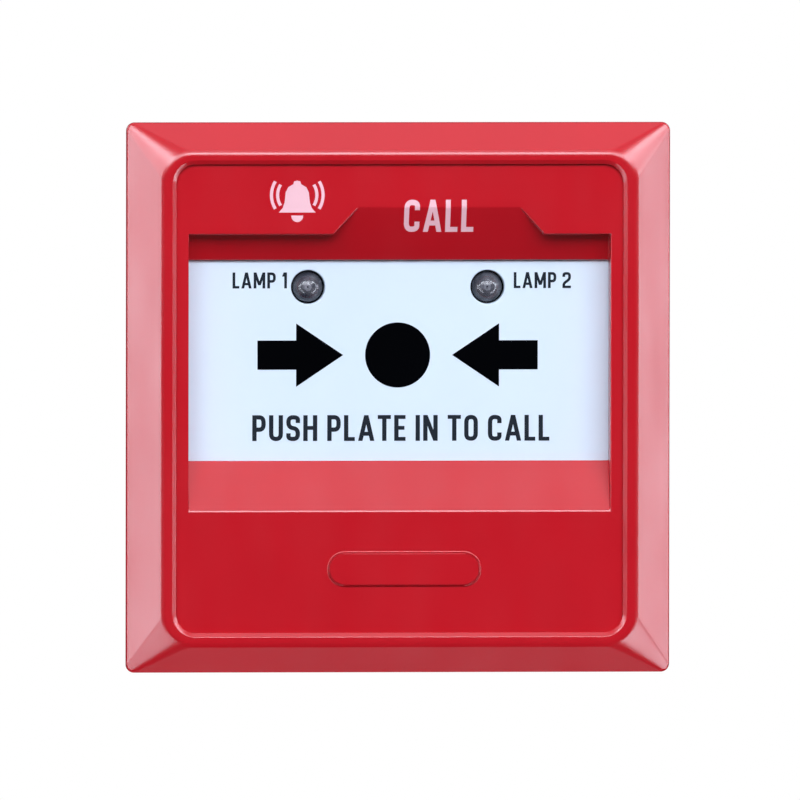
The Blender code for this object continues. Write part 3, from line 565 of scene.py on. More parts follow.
def make_bezel():
    """The outer frame: skirt, slopes, rim, the lip over the panel's edge and the gasket's ledge."""
    inner_w = HALF_W - WALL
    inner_h = HALF_H - WALL
    seal_w, seal_h = inner_w - SEAL_LEDGE, inner_h - SEAL_LEDGE
    opening_w = PANEL_HALF_W + OPENING_GAP
    opening_h = PANEL_HALF_H + OPENING_GAP
    corner = PANEL_RADIUS + 0.1
    lip_w, lip_h, lip_radius = opening_w - LIP_REACH, opening_h - LIP_REACH, corner - LIP_REACH
    foot = FRONT - LIP_DROP - LIP_FOOT
    path = [
        (HALF_W - REAR_DRAFT, HALF_H - REAR_DRAFT, SKIRT_RADIUS, SKIRT_REAR, 0.3),
        (HALF_W, HALF_H, SKIRT_RADIUS, SKIRT_WIDEST, 0.3),
        (HALF_W - FRONT_DRAFT, HALF_H - FRONT_DRAFT, SKIRT_RADIUS, SKIRT_FRONT, 0.25),
        (RIM_HALF_W, RIM_HALF_H, RIM_RADIUS, FRONT - CROWN_DROP, 0.22),
        (RIM_HALF_W - CROWN, RIM_HALF_H - CROWN, RIM_RADIUS - CROWN, FRONT, 0.7),
        (lip_w + LIP_WIDTH, lip_h + LIP_WIDTH, lip_radius + LIP_WIDTH, FRONT, 0.12),
        (lip_w, lip_h, lip_radius, FRONT - LIP_DROP, 0.03),
        (lip_w, lip_h, lip_radius, foot, 0.03),
        (opening_w, opening_h, corner, foot, 0.0),
        (opening_w, opening_h, corner, RIM_REAR, 0.1),
        (THROAT_HALF_W, THROAT_HALF_H, THROAT_RADIUS, RIM_REAR, 0.3),
        (inner_w, inner_h, SKIRT_INNER_RADIUS, THROAT_REAR, 0.5),
        (inner_w, inner_h, SKIRT_INNER_RADIUS, SEAL_D[1], 0.0),
        (seal_w, seal_h, SEAL_RADIUS, SEAL_D[1], 0.2),
        (seal_w, seal_h, SEAL_RADIUS, SEAL_D[0], 0.2),
        (inner_w, inner_h, SKIRT_INNER_RADIUS, SEAL_D[0], 0.0),
        (inner_w, inner_h, SKIRT_INNER_RADIUS, SKIRT_REAR, 0.3),
    ]
    shell = Shape().frames(eased(path, 6, loop=True), loop=True)
    holes = Shape().rod(KEY_HOLE, (0.0, KEY_DEPTH), "z", *LOWER_EDGE_CUT)
    holes.rod(JACK_HOLE, (JACK_X, JACK_DEPTH), "z", *LOWER_EDGE_CUT)
    holes.rod(LOCK_HOLE, (LOCK_X, LOCK_DEPTH), "z", *LOWER_EDGE_CUT)
    bezel = smooth(solid("bezel_shell", shell, [("cut", holes)]))
    place(bezel, LOOKS["red"], "housing", "red_abs", "outer_bezel")


def opening():
    """What the window leaves open, with the notch that carries on its upper slope."""
    over = (FRONT - PANEL_FRONT) / (PANEL_FRONT - LAND_FRONT)
    ear = slope_depth(EAR_BOTTOM, HEADER_TOP, WINDOW_TOP)
    foot = SILL_BOTTOM - over * (WINDOW_BOTTOM - SILL_BOTTOM)
    crest = HEADER_TOP + over * (HEADER_TOP - WINDOW_TOP)
    widening = (NOTCH_HALF_BOTTOM - NOTCH_HALF_TOP) / (HEADER_TOP - EAR_BOTTOM)
    crest_half = NOTCH_HALF_TOP - (crest - HEADER_TOP) * widening
    wall = [
        (LAND_FRONT, WINDOW_TOP),
        (CUT_REAR, WINDOW_TOP),
        (CUT_REAR, WINDOW_BOTTOM),
        (LAND_FRONT, WINDOW_BOTTOM),
        (FRONT, foot),
        (FRONT, EAR_BOTTOM),
        (ear, EAR_BOTTOM),
    ]
    sides = {}
    notch = {}
    for side in mirrored(1):
        sides[side] = [(side * WINDOW_HALF_W, depth, z) for depth, z in wall]
        low = NOTCH_X + side * NOTCH_HALF_BOTTOM
        notch[side] = [
            (low, FRONT, EAR_BOTTOM),
            (low, ear, EAR_BOTTOM),
            (NOTCH_X + side * crest_half, FRONT, crest),
        ]
    left, right = sides[-1], sides[1]
    left_low, left_deep, left_crest = notch[-1]
    right_low, right_deep, right_crest = notch[1]
    return Shape().faces(
        left,
        right,
        *([left[i], right[i], right[i + 1], left[i + 1]] for i in range(4)),
        [left[5], left_low, left_deep, left[6]],
        [right[5], right_low, right_deep, right[6]],
        *notch.values(),
        [left[0], left[6], left_deep, left_crest, right_crest, right_deep, right[6], right[0]],
        [left[4], left[5], left_low, left_crest, right_crest, right_low, right[5], right[4]],
    )


def make_cover():
    """The front cover: flange, window, header with a notch, sill, blank badge and screw bosses."""
    path = [
        (PANEL_HALF_W, PANEL_HALF_H, PANEL_RADIUS, COVER_REAR, 0),
        (PANEL_HALF_W, PANEL_HALF_H, PANEL_RADIUS, FLANGE_D[0], 0),
        (FLANGE_X[1], FLANGE_Z[1], FLANGE_RADIUS, FLANGE_D[0], 0.2),
        (FLANGE_X[1], FLANGE_Z[1], FLANGE_RADIUS, FLANGE_D[1], 0.2),
        (PANEL_HALF_W, PANEL_HALF_H, PANEL_RADIUS, FLANGE_D[1], 0.0),
        (PANEL_HALF_W, PANEL_HALF_H, PANEL_RADIUS, PANEL_FRONT, 0),
    ]
    block = Shape().frames(eased(path))
    inner = PANEL_HALF_H - PANEL_THICK
    hollows = Shape()
    for top, bottom, edge in (
        (HEADER_TOP, WINDOW_TOP, inner),
        (SILL_BOTTOM, WINDOW_BOTTOM, -inner),
    ):
        hollows.prism(pocket(top, bottom, edge), "x", -WINDOW_HALF_W, WINDOW_HALF_W)
    bosses = Shape()
    bores = Shape()
    boss_rear = span("front_cover")[1][0]
    for x in mirrored(BOSS_X):
        for z in mirrored(BOSS_Z):
            bosses.rod(BOSS_RADIUS, (x, z), "depth", boss_rear, PANEL_FRONT - 1.2, 24)
            bores.rod(BORE_RADIUS, (x, z), "depth", boss_rear - 1, BORE_FRONT, 24)
    rings = []
    for inset, rise in ((0.0, -0.4), (0.0, 0.1), (0.1, BADGE_RISE - 0.07), (0.3, BADGE_RISE)):
        half_w, half_h = BADGE_HALF_W - inset, BADGE_HALF_H - inset
        outline = rounded(half_w, half_h, half_h, (BADGE_X, BADGE_Z))
        rings.append([(x, PANEL_FRONT + rise, z) for x, z in outline])
    badge = Shape().skin(rings)
    edits = [
        ("cut", opening()),
        ("cut", hollows),
        ("add", bosses),
        ("cut", bores),
        ("add", badge),
    ]
    cover = smooth(solid("front_panel", block, edits, merge=True), 0.22, 3, math.radians(20))
    return place(cover, LOOKS["red"], "housing", "red_abs", "front_cover")


def make_back_box():
    """The box on the wall: screw posts, catches, lug, cable entry, screw holes and knockouts."""
    half_w, half_h = BOX_X[1], BOX_Z[1]
    inner_w, inner_h = half_w - WALL, half_h - WALL
    path = [
        (half_w - BOX_CHAMFER, half_h - BOX_CHAMFER, BOX_RADIUS - BOX_CHAMFER, 0.0, 0),
        (half_w, half_h, BOX_RADIUS, BOX_CHAMFER, 0.4),
        (half_w, half_h, BOX_RADIUS, BOX_DEPTH, 0.3),
        (inner_w, inner_h, BOX_INNER_RADIUS, BOX_DEPTH, 0.3),
        (inner_w, inner_h, BOX_INNER_RADIUS, BOX_FLOOR, 0.8),
        (inner_w - 2.0, inner_h - 2.0, 1.0, BOX_FLOOR, 0),
    ]
    shell = Shape().frames(eased(path, 4))
    added = Shape()
    for side in mirrored(1):
        seat = (side * BASE_SCREW_X, BASE_SCREW_Z)
        added.rod(POST_RADIUS, seat, "depth", BOX_FLOOR - 0.5, POST_FRONT, 24)
        added.box(sorted(side * x for x in CATCH_X), CATCH_D, (CATCH_LOW, inner_h + 0.5))
    lug = [
        (BOX_FLOOR - 0.5, -inner_h - 0.5),
        (BOX_DEPTH - 0.5, -inner_h - 0.5),
        (BOX_DEPTH + 0.2, -inner_h + 0.1),
        (LUG_FRONT, -inner_h + 0.1),
        (LUG_FRONT, -inner_h + LUG_THICK),
        (BOX_FLOOR - 0.5, -inner_h + LUG_THICK),
    ]
    added.prism(lug, "x", LOCK_X - LUG_HALF_W, LOCK_X + LUG_HALF_W)
    through = (-1.0, BOX_FLOOR + 1.0)
    holes = Shape().rod(CABLE_RADIUS, (0.0, CABLE_Z), "depth", *through)
    holes.rod(1.8, (LOCK_X, LOCK_DEPTH), "z", -47.0, -40.0, 24)
    for side in mirrored(1):
        holes.rod(WALL_SCREW_RADIUS, (side * WALL_SCREW_X, 0.0), "depth", *through, 32)
        holes.rod(1.6, (side * BASE_SCREW_X, BASE_SCREW_Z), "depth", 2.8, 6.0, 24)
        edge = side * half_h
        deep = edge - side * SCORE_DEPTH
        for radius in KNOCKOUT_RADII:
            near, far = radius - SCORE_HALF_W, radius + SCORE_HALF_W
            groove = [(near, deep), (far, deep), (far, edge + side), (near, edge + side)]
            holes.turned(groove, (0.0, BOX_DEPTH / 2), "z", loop=True)
    box = smooth(solid("wall_box", shell, [("add", added), ("cut", holes)]), 0.25, 2)
    place(box, LOOKS["red"], "housing", "red_abs", "back_box")


# ---------------------------------------------------------------- the press plate and its print


def make_plate():
    """The white press plate with soft edges and two countersunk lamp holes."""
    half_w = PLATE_X[1]
    half_h = (PLATE_Z[1] - PLATE_Z[0]) / 2
    centre = (0.0, middle(PLATE_Z))
    rings = [(PLATE_D[0], 0.3), (PLATE_D[0] + 0.3, 0.0), (PLATE_D[1] - 0.3, 0.0)]
    rings += [(PLATE_D[1] - 0.09, 0.09), (PLATE_D[1], 0.3)]
    outline = [
        [(x, depth, z) for x, z in rounded(half_w - inset, half_h - inset, 1.4 - inset, centre)]
        for depth, inset in rings
    ]
    holes = Shape()
    front = PLATE_D[1]
    for x in mirrored(LAMP_X):
        sink = [(0, PLATE_D[0] - 1), (LAMP_HOLE, PLATE_D[0] - 1), (LAMP_HOLE, front - 0.3)]
        sink += [(LAMP_HOLE + 0.08, front - 0.1), (LAMP_HOLE + 0.3, front + 0.01)]
        sink.append((0, front + 0.01))
        holes.turned(sink, (x, LAMP_Z))
    plate = smooth(solid("white_press_plate", Shape().skin(outline), [("cut", holes)]))
    return place(plate, LOOKS["white"], "press_plate_assembly", "white_plate", "press_plate")


def lay_on(name, shape, target):
    """A thin print on a target's front: depth 1 goes just above it, and depth 0 just into it."""
    bpy.context.view_layer.update()
    tree = BVHTree.FromObject(target, bpy.context.evaluated_depsgraph_get())
    ahead = -(FRONT + 10) * MM
    for vert in shape.mesh.verts:
        above = vert.co.y < -0.5 * MM
        hit = tree.ray_cast(Vector((vert.co.x, ahead, vert.co.z)), Vector((0, 1, 0)))[0]
        vert.co.y = hit.y + (-PRINT_PROUD if above else PRINT_SUNK) * MM
    return smooth(to_object(name, shape))


def stroke(path, width):
    """The outline of a line of that width along a path, with mitred corners and square ends."""
    sides = ([], [])
    for i, (x, z) in enumerate(path):
        ways = []
        for a, b in ((i - 1, i), (i, i + 1)):
            if a >= 0 and b < len(path):
                ways.append(Vector((path[b][0] - path[a][0], path[b][1] - path[a][1])).normalized())
        way = (ways[0] + ways[-1]).normalized()
        reach = width / 2 / max(0.3, way.dot(ways[0]))
        for side, line in zip(mirrored(reach), sides):
            line.append((x - way.y * side, z + way.x * side))
    return sides[0] + sides[1][::-1]


def slab(shape, outline):
    return shape.prism(outline, "depth", 0.0, 1.0)


# Plain narrow capitals, drawn with the cap height as 1, from uprights, rails, legs and bends.
PEN = 0.165
RAIL = PEN * 0.92
LETTER_GAP = 0.125


def post(x):
    return [(x, 0.0), (x + PEN, 0.0), (x + PEN, 1.0), (x, 1.0)]


def rail(z, start, end):
    return [(start, z), (end, z), (end, z + RAIL), (start, z + RAIL)]


def leg(x, z, x_end, z_end):
    return [(x, z), (x + PEN, z), (x_end + PEN, z_end), (x_end, z_end)]


def bend(*places, ease=0.21):
    """A stroke of the pen through places, with its turns rounded."""
    return stroke([tuple(place) for place in eased([(*place, ease) for place in places], 7)], PEN)


def bowl(width, low):
    right = width - PEN / 2
    return bend((PEN / 2, 1 - PEN / 2), (right, 1 - PEN / 2), (right, low), (PEN / 2, low))


def letters():
    """Each letter's width and the outlines that make it."""
    half, top = PEN / 2, 1 - PEN / 2
    near, far = half, 0.52 - half
    ess = [(far, 0.70), (far, top), (near, top), (near, 0.53), (far, 0.47), (far, half)]
    ess += [(near, half), (near, 0.30)]
    two = [(near, 0.70), (near, top), (far, top), (far, 0.55), (near, 0.30), (near, half)]
    see = [(far, 0.68), (far, top), (near, top), (near, half), (far, half), (far, 0.32)]
    low_oh = [(near, 0.47), (near, half), (far, half), (far, 0.53)]
    high_oh = [(near, 0.47), (near, top), (far, top), (far, 0.47)]
    you = [(near, 1.0), (near, half), (0.53 - half, half), (0.53 - half, 1.0)]
    peak, dip = 0.31 - half, 0.35 - half
    cap = 1 - RAIL
    return {
        " ": (0.13, []),
        "1": (0.30, [post(0.30 - PEN), leg(0.0, 0.74, 0.10, 1.0)]),
        "2": (0.52, [bend(*two, ease=0.16), rail(0, 0, 0.52)]),
        "A": (0.62, [leg(0, 0, peak, 1), leg(0.62 - PEN, 0, peak, 1), rail(0.2, 0.12, 0.5)]),
        "C": (0.52, [bend(*see)]),
        "E": (0.43, [post(0), rail(0, 0, 0.43), rail(0.43, 0, 0.39), rail(cap, 0, 0.43)]),
        "H": (0.53, [post(0), post(0.53 - PEN), rail(0.43, 0, 0.53)]),
        "I": (PEN, [post(0)]),
        "L": (0.41, [post(0), rail(0, 0, 0.41)]),
        "M": (
            0.70,
            [post(0), post(0.70 - PEN), leg(0, 1, dip, 0.2), leg(0.70 - PEN, 1, dip, 0.2)],
        ),
        "N": (0.55, [post(0), post(0.55 - PEN), leg(0, 1, 0.55 - PEN, 0)]),
        "O": (0.52, [bend(*low_oh), bend(*high_oh)]),
        "P": (0.51, [post(0), bowl(0.51, 0.44)]),
        "S": (0.52, [bend(*ess)]),
        "T": (0.50, [post(0.25 - half), rail(cap, 0, 0.50)]),
        "U": (0.53, [bend(*you)]),
    }


def lettering(words, centre, width, height, creases=()):
    """A slab of plain capitals, of a width and cap height about a centre, split along creases."""
    outlines = []
    reach = 0.0
    table = letters()
    for letter in words:
        wide, parts = table[letter]
        outlines += [[(reach + x, z) for x, z in part] for part in parts]
        reach += wide + LETTER_GAP
    reach -= LETTER_GAP
    first, rest = Shape(), Shape()
    for number, outline in enumerate(outlines):
        placed = []
        for x, z in outline:
            across = centre[0] + (x / reach - 0.5) * width
            placed.append((across, centre[1] + (z - 0.5) * height))
        slab(rest if number else first, placed)
    joined = solid("words", first, [("add", rest)])
    shape = Shape()
    shape.mesh.from_mesh(joined.data)
    bpy.data.objects.remove(joined, do_unlink=True)
    for z in creases:
        everything = list(shape.mesh.verts) + list(shape.mesh.edges) + list(shape.mesh.faces)
        bmesh.ops.bisect_plane(
            shape.mesh, geom=everything, plane_co=point(0, 0, z), plane_no=(0, 0, 1), dist=1e-7
        )
    return shape


def make_plate_print(plate):
    """The two arrows, the dot and the plain words on the plate."""
    marks = slab(Shape(), circle(DOT_RADIUS, (0.0, SYMBOL_Z), 96))
    for side in mirrored(1):
        tip, neck, tail = side * ARROW_TIP, side * ARROW_NECK, side * ARROW_TAIL
        outline = [(tip, 0.0), (neck, ARROW_HALF), (neck, SHAFT_HALF), (tail, SHAFT_HALF)]
        outline += [(tail, -SHAFT_HALF), (neck, -SHAFT_HALF), (neck, -ARROW_HALF)]
        slab(marks, [(x, SYMBOL_Z + z) for x, z in outline])
    body = "press_plate_assembly"
    symbols = lay_on("plate_symbols", marks, plate)
    place(symbols, LOOKS["ink_black"], body, "black_abs")
    for name, text, centre, width, height in PLATE_WORDS:
        made = lay_on(name, lettering(text, centre, width, height), plate)
        place(made, LOOKS["ink_dark"], body, "black_abs")


def make_header_print(cover):
    """A plain word on the header and a plain bell beside it."""
    creases = [HEADER_TOP + step for step in (-0.4, -0.2, 0.0, 0.2, 0.4)]
    word = lay_on("header_word", lettering("CALL", (7.0, 32.45), 12.4, 5.8, creases), cover)
    place(word, LOOKS["ink_white"], "housing", "white_plate")
    outline = [(BELL_X + across, BELL_Z + up) for across, up in BELL_HALF]
    outline += [(BELL_X - across, BELL_Z + up) for across, up in reversed(BELL_HALF[1:])]
    icon = slab(Shape(), outline)
    clapper = circle(CLAPPER_RADIUS, (BELL_X, CLAPPER_Z), 28)
    clapper = [pair for pair in clapper if pair[1] < CLAPPER_TOP]
    slab(icon, sorted(clapper, key=lambda pair: math.atan2(pair[1] - CLAPPER_Z, pair[0] - BELL_X)))
    arc = [math.radians(turn) for turn in range(-32, 33, 8)]
    for side in mirrored(1):
        for reach in WAVE_REACH:
            wave = []
            for turn in arc:
                across = side * reach * math.cos(turn)
                wave.append((BELL_X + across, BELL_Z + 1.0 + reach * math.sin(turn)))
            slab(icon, stroke(wave, WAVE_WIDTH))
    place(lay_on("header_icon", icon, cover), LOOKS["ink_white"], "housing", "white_plate")


# ---------------------------------------------------------------- lamps and fittings


def make_lamp(node, label):
    """A lamp: a clear body with a domed end, and the cup, post and die that show through it."""
    across, (rear, tip), _ = span(node)
    x = middle(across)
    dome = tip - LAMP_RADIUS
    profile = [(0, rear), (LAMP_RIM - 0.1, rear), (LAMP_RIM, rear + 0.1), (LAMP_RIM, rear + 0.9)]
    profile += [(LAMP_RIM - 0.1, rear + 1.0), (LAMP_RADIUS, rear + 1.0)]
    for step in range(16):
        angle = math.pi / 2 * step / 16
        profile.append((LAMP_RADIUS * math.cos(angle), dome + LAMP_RADIUS * math.sin(angle)))
    profile.append((0, tip))
    body = smooth(solid(f"{label}_lens", Shape().turned(profile, (x, LAMP_Z))))
    place(body, LOOKS["lens"], "housing", "led_lens", node)
    leads = Shape().turned([(radius, rear + rise) for radius, rise in CUP], (x, LAMP_Z), steps=32)
    leads.box(
        [x + side for side in CUP_POST_X],
        [rear + rise for rise in CUP_POST_RISE],
        [LAMP_Z + side for side in mirrored(CUP_POST_HALF)],
    )
    # The cup is matt white where the real one is bright metal. Its white is painted reflection: an
    # even bright ring in place of the light that the metal throws back.
    holder = smooth(to_object(f"{label}_lead_frame", leads), 0.05, 2)
    place(holder, LOOKS["acetal"], "housing", "steel")
    die = Shape().box(
        [x + side for side in mirrored(DIE_HALF)],
        [rear + rise for rise in DIE_RISE],
        [LAMP_Z + side for side in mirrored(DIE_HALF)],
    )
    chip = smooth(to_object(f"{label}_die", die), 0.02, 2)
    place(chip, LOOKS["black"], "housing", "black_abs")


def make_spring(node):
    """A coil of round wire with closed ends."""
    (x0, x1), (start, end), zs = span(node)
    x, z = middle((x0, x1)), middle(zs)
    wire = 0.25
    coil = (x1 - x0) / 2 - wire
    turns, coil_steps, wire_steps = 6.0, 28, 12
    rings = []
    total = int(turns * coil_steps)
    for step in range(total + 1):
        share = step / total
        angle = 2 * math.pi * turns * share
        rise = min(1.0, max(0.0, (share * turns - 0.8) / (turns - 1.6)))
        depth = start + wire + (end - start - 2 * wire) * (0.1 * share + 0.9 * rise)
        ring = []
        for side in range(wire_steps):
            tilt = 2 * math.pi * side / wire_steps
            reach = coil + wire * math.cos(tilt)
            across, up = reach * math.cos(angle), reach * math.sin(angle)
            ring.append((x + across, depth + wire * math.sin(tilt), z + up))
        rings.append(ring)
    spring = smooth(to_object(node.replace("return", "round_wire"), Shape().skin(rings)))
    place(spring, LOOKS["steel"], "housing", "steel", node)
    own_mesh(spring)


def make_key_bush():
    """The bush of the reset key's hole in the lower edge."""
    edge = span("reset_key_bush")[2][0]
    bush = [(4.2, edge + 0.25), (4.2, -40.0), (3.0, -40.0), (3.0, edge + 0.9), (3.15, edge + 0.5)]
    bush += [(3.5, edge), (3.95, edge)]
    ring = Shape().turned(bush, (0.0, KEY_DEPTH), "z", loop=True)
    key = smooth(solid("key_bush", ring))
    place(key, LOOKS["black"], "housing", "black_abs", "reset_key_bush")


def make_jack_bush():
    """The plated sleeve of the telephone jack, with four shallow grooves in its bore."""
    edge = span("phone_jack_bush")[2][0]
    bore, groove_bore, inner_end = 3.3, 3.42, -44.3
    sleeve = [(4.4, edge + 0.3), (4.4, inner_end), (bore, inner_end)]
    for groove in range(4):
        z = -44.6 - 0.8 * groove
        sleeve += [(bore, z), (groove_bore, z - 0.2), (groove_bore, z - 0.4), (bore, z - 0.6)]
    sleeve += [(3.35, edge + 0.6), (3.8, edge), (4.15, edge)]
    ring = Shape().turned(sleeve, (JACK_X, JACK_DEPTH), "z", loop=True)
    jack = smooth(to_object("jack_bush", ring))
    place(jack, LOOKS["chrome"], "housing", "chrome_bush", "phone_jack_bush")


def make_lock_screw():
    """The locking screw of the lower edge: a domed cross head and a grooved shank."""
    _, _, (head, tip) = span("lock_screw")
    under = head + 1.4
    profile = [(0, head), (0.9, head + 0.02), (1.7, head + 0.14), (2.3, head + 0.42)]
    profile += [(2.58, head + 0.85), (2.6, head + 1.1), (2.5, under), (1.5, under)]
    shank, root, pitch = 1.5, 1.22, 0.5
    turns = int((tip - 0.9 - under) / pitch)
    for number in range(turns):
        z = under + 0.2 + number * pitch
        profile += [(shank, z + 0.1), (root, z + 0.25), (shank, z + 0.4)]
    profile.append((0, tip))
    # The cross is cut as two slots one after the other: cutters that overlap would leave nothing.
    slots = []
    for wide, tall in ((1.35, 0.33), (0.33, 1.35)):
        rings = []
        for z, grow in ((head - 0.5, 1.1), (head + 1.1, 0.62)):
            w, t = wide * grow, tall * grow
            corners = ((w, t), (-w, t), (-w, -t), (w, -t))
            rings.append([(LOCK_X + a, LOCK_DEPTH + b, z) for a, b in corners])
        slots.append(("cut", Shape().skin(rings)))
    blank = Shape().turned(profile, (LOCK_X, LOCK_DEPTH), "z")
    screw = smooth(solid("cross_head_screw", blank, slots))
    place(screw, LOOKS["steel"], "housing", "steel", "lock_screw")


# The CAD nodes that stay, by the look that each gets.
CARRIED = {
    "rubber": ("perimeter_gasket", "cable_grommet"),
    "ivory": ("terminal_base",),
    "terminal": ("terminal_block_1", "terminal_block_2"),
    "board": ("pcb",),
    "acetal": ("reset_slider",),
    "red": ("switch_plunger",),
    "can": ("capacitor",),
    "brass": tuple(f"terminal_screw_{n}" for n in range(1, 7))
    + tuple(f"switch_terminal_{n}" for n in range(1, 4))
    + ("jack_contact_1", "jack_contact_2"),
    "black": (
        "plate_carrier",
        "chassis",
        "switch_case",
        "base_socket",
        "pin_header",
        "microcontroller",
        "led_spacer_1",
        "led_spacer_2",
        "phone_jack_body",
    ),
    "steel": tuple(f"cover_screw_{n}" for n in range(1, 5))
    + ("base_screw_1", "base_screw_2", "pcb_screw_1", "pcb_screw_2", "detent_screw", "hinge_pin")
    + ("drive_pin", "switch_lever", "switch_lever_pin", "detent_spring"),
}


WELD_WITHIN = 0.000005
WIDEST_EDGE = 0.18
EDGE_SHARE = 0.07


def finish_carried():
    """Gives each CAD node that stays its finished material and small rounded edges."""
    for look, names in CARRIED.items():
        for name in names:
            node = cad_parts[name]
            node.data.shade_smooth()
            join = node.modifiers.new("join", "WELD")
            join.merge_threshold = WELD_WITHIN
            smallest = min(node.dimensions)
            smooth(node, min(WIDEST_EDGE, smallest / MM * EDGE_SHARE), 2)
            for slot in node.material_slots:
                slot.material = LOOKS[look]


# ---------------------------------------------------------------- light, floor and camera

AIM = point(0.0, 41.0, 0.0)
CAMERA_FROM = (-3.95, 2.56)
CAMERA_DISTANCE = 6.0
CAMERA_LENS = 1517.6
CAMERA_ROLL = 0.088
CAMERA_SHIFT = (0.00235, -0.0032)
FLOOR_RADIUS = 240.0
FLOOR_Z = (-302.0, -300.0)
LIGHT_TINT = (0.95, 1.0, 1.1)
# How bright the world is as light, from straight below at 0 to straight above at 1.
WORLD_LEVELS = ((0.0, 0.12), (0.05, 0.06), (0.35, 0.12), (0.60, 0.05), (0.82, 0.5), (1.0, 0.4))
# Each softbox: azimuth, elevation, distance, width, height, turn, radiance and duty. A "shine" box
# shows only in reflections, and a "fill" box lights the faces but isn't reflected.
SOFTBOXES = {
    "side_left": (-74.0, -2.5, 2.0, 0.28, 0.8, 0.0, 8.7, "shine"),
    "side_right": (82.0, -2.5, 2.0, 0.28, 0.8, 0.0, 8.3, "shine"),
    "upper_left": (-52.5, 20.0, 2.0, 0.24, 1.8, -38.0, 10.8, "shine"),
    "upper_right": (60.0, 21.5, 2.0, 0.24, 1.75, 37.0, 11.6, "shine"),
    "lower_left": (-52.0, -27.0, 2.0, 0.24, 1.8, 32.0, 7.0, "shine"),
    "lower_right": (58.0, -27.0, 2.0, 0.24, 1.75, -29.0, 10.5, "shine"),
    "overhead": (0.0, 86.0, 2.2, 1.6, 1.2, 0.0, 0.68, "both"),
    "lip_front": (4.0, 61.0, 2.4, 0.9, 0.2, 0.0, 1.5, "both"),
    "high_front": (4.0, 52.0, 2.4, 1.0, 0.6, 0.0, 0.62, "both"),
    "key_left": (-17.0, 31.0, 2.4, 1.8, 1.1, 0.0, 5.75, "both"),
    "key_right": (23.0, 31.0, 2.4, 1.8, 1.1, 0.0, 5.75, "both"),
    "back_left": (-128.0, 22.0, 2.4, 1.2, 1.2, 0.0, 5.0, "both"),
    "back_right": (132.0, 22.0, 2.4, 1.2, 1.2, 0.0, 4.0, "both"),
    "low": (0.0, -110.0, 1.5, 1.6, 1.6, 0.0, 5.3, "fill"),
}


def towards(azimuth, elevation):
    """The direction at an azimuth right of the front and an elevation, both in degrees."""
    a, e = math.radians(azimuth), math.radians(elevation)
    return Vector((math.sin(a) * math.cos(e), -math.cos(a) * math.cos(e), math.sin(e)))


def softbox(name, azimuth, elevation, distance, width, height, turn, radiance, duty):
    """An area light facing the object, turned in its own plane; radiance is how bright it looks."""
    light = bpy.data.lights.new(name, "AREA")
    light.color = LIGHT_TINT
    light.shape = "RECTANGLE"
    light.size = width
    light.size_y = height
    light.energy = radiance * math.pi * width * height
    made = bpy.data.objects.new(name, light)
    made.location = AIM + towards(azimuth, elevation) * distance
    facing = (-towards(azimuth, elevation)).to_track_quat("-Z", "Y")
    made.rotation_euler = (facing @ Quaternion((0, 0, 1), math.radians(turn))).to_euler()
    made.visible_diffuse = duty != "shine"
    made.visible_glossy = duty != "fill"
    bpy.context.scene.collection.objects.link(made)


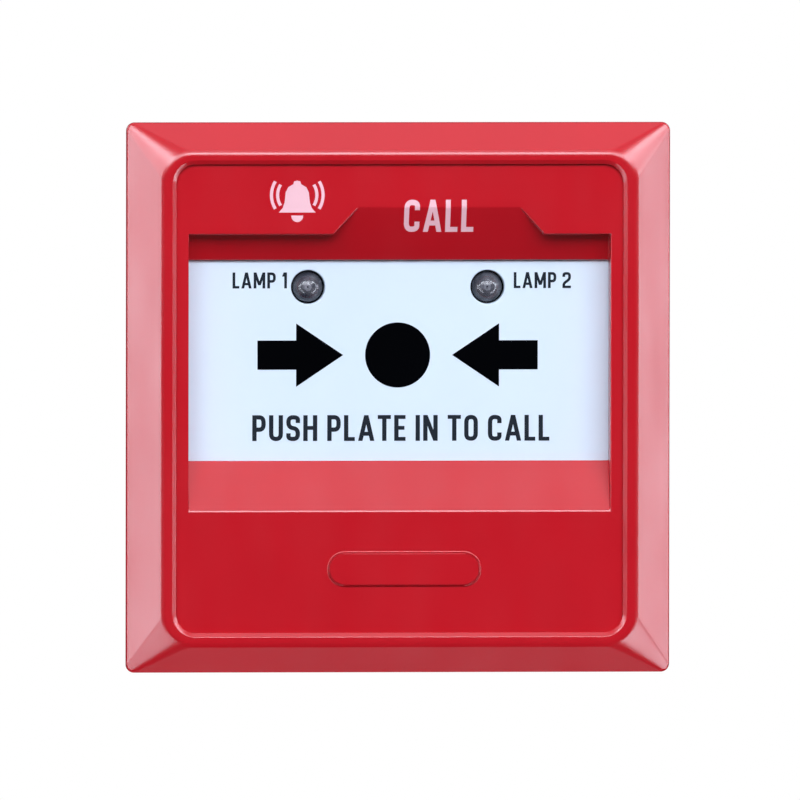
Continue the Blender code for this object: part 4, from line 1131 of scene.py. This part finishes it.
def make_world():
    """White behind the object; as light, a soft gradient that is bright above and dark in front."""
    world = bpy.data.worlds.new("studio")
    world.use_nodes = True
    tree = world.node_tree
    tree.nodes.clear()
    nodes = tree.nodes
    seen = nodes.new("ShaderNodeBackground")
    seen.inputs["Color"].default_value = (1, 1, 1, 1)
    seen.inputs["Strength"].default_value = 1.0
    coords = nodes.new("ShaderNodeTexCoord")
    parts = nodes.new("ShaderNodeSeparateXYZ")
    tree.links.new(coords.outputs["Generated"], parts.inputs[0])
    height = nodes.new("ShaderNodeMapRange")
    height.inputs["From Min"].default_value = -1.0
    tree.links.new(parts.outputs["Z"], height.inputs["Value"])
    ramp = nodes.new("ShaderNodeValToRGB")
    tree.links.new(height.outputs[0], ramp.inputs[0])
    stops = ramp.color_ramp.elements
    while len(stops) < len(WORLD_LEVELS):
        stops.new(0.5)
    for stop, (position, level) in zip(stops, WORLD_LEVELS):
        stop.position = position
        stop.color = (*tinted(LIGHT_TINT, level), 1)
    given = nodes.new("ShaderNodeBackground")
    tree.links.new(ramp.outputs["Color"], given.inputs["Color"])
    path = nodes.new("ShaderNodeLightPath")
    pick = nodes.new("ShaderNodeMixShader")
    tree.links.new(path.outputs["Is Camera Ray"], pick.inputs[0])
    tree.links.new(given.outputs[0], pick.inputs[1])
    tree.links.new(seen.outputs[0], pick.inputs[2])
    out = nodes.new("ShaderNodeOutputWorld")
    tree.links.new(pick.outputs[0], out.inputs["Surface"])
    bpy.context.scene.world = world


def make_stage():
    """The floor under the object, the lights round it and the camera in front of it."""
    make_world()
    floor = to_object("floor", Shape().rod(FLOOR_RADIUS, (0.0, 0.0), "z", *FLOOR_Z, 96))
    look = Look("pale_floor", Roughness=0.8)
    tone = look.ranged(look.noise(3.0, 2.0), 0.0, 1.0)
    look.set("Base Color", look.mix(tone, (0.80, 0.80, 0.80), (0.84, 0.84, 0.84)))
    floor.data.materials.append(look.material)
    # The floor is only seen: it neither lights the object nor keeps the low light from it.
    floor.visible_glossy = False
    floor.visible_diffuse = False
    floor.visible_shadow = False
    for name, settings in SOFTBOXES.items():
        softbox(name, *settings)
    camera = bpy.data.cameras.new("camera")
    camera.sensor_width = 36.0
    camera.lens = CAMERA_LENS
    camera.shift_x, camera.shift_y = CAMERA_SHIFT
    made = bpy.data.objects.new("camera", camera)
    back = towards(*CAMERA_FROM)
    made.location = AIM + back * CAMERA_DISTANCE
    level = (-back).to_track_quat("-Z", "Y")
    made.rotation_euler = (level @ Quaternion((0, 0, 1), math.radians(CAMERA_ROLL))).to_euler()
    bpy.context.scene.collection.objects.link(made)
    bpy.context.scene.camera = made
    bpy.context.scene.view_settings.view_transform = "Standard"


def main():
    make_bezel()
    cover = make_cover()
    make_back_box()
    make_plate_print(make_plate())
    make_header_print(cover)
    make_lamp("alarm_led", "alarm")
    make_lamp("phone_led", "phone")
    for node in ("return_spring_1", "return_spring_2"):
        make_spring(node)
    make_key_bush()
    make_jack_bush()
    make_lock_screw()
    finish_carried()
    make_stage()


main()
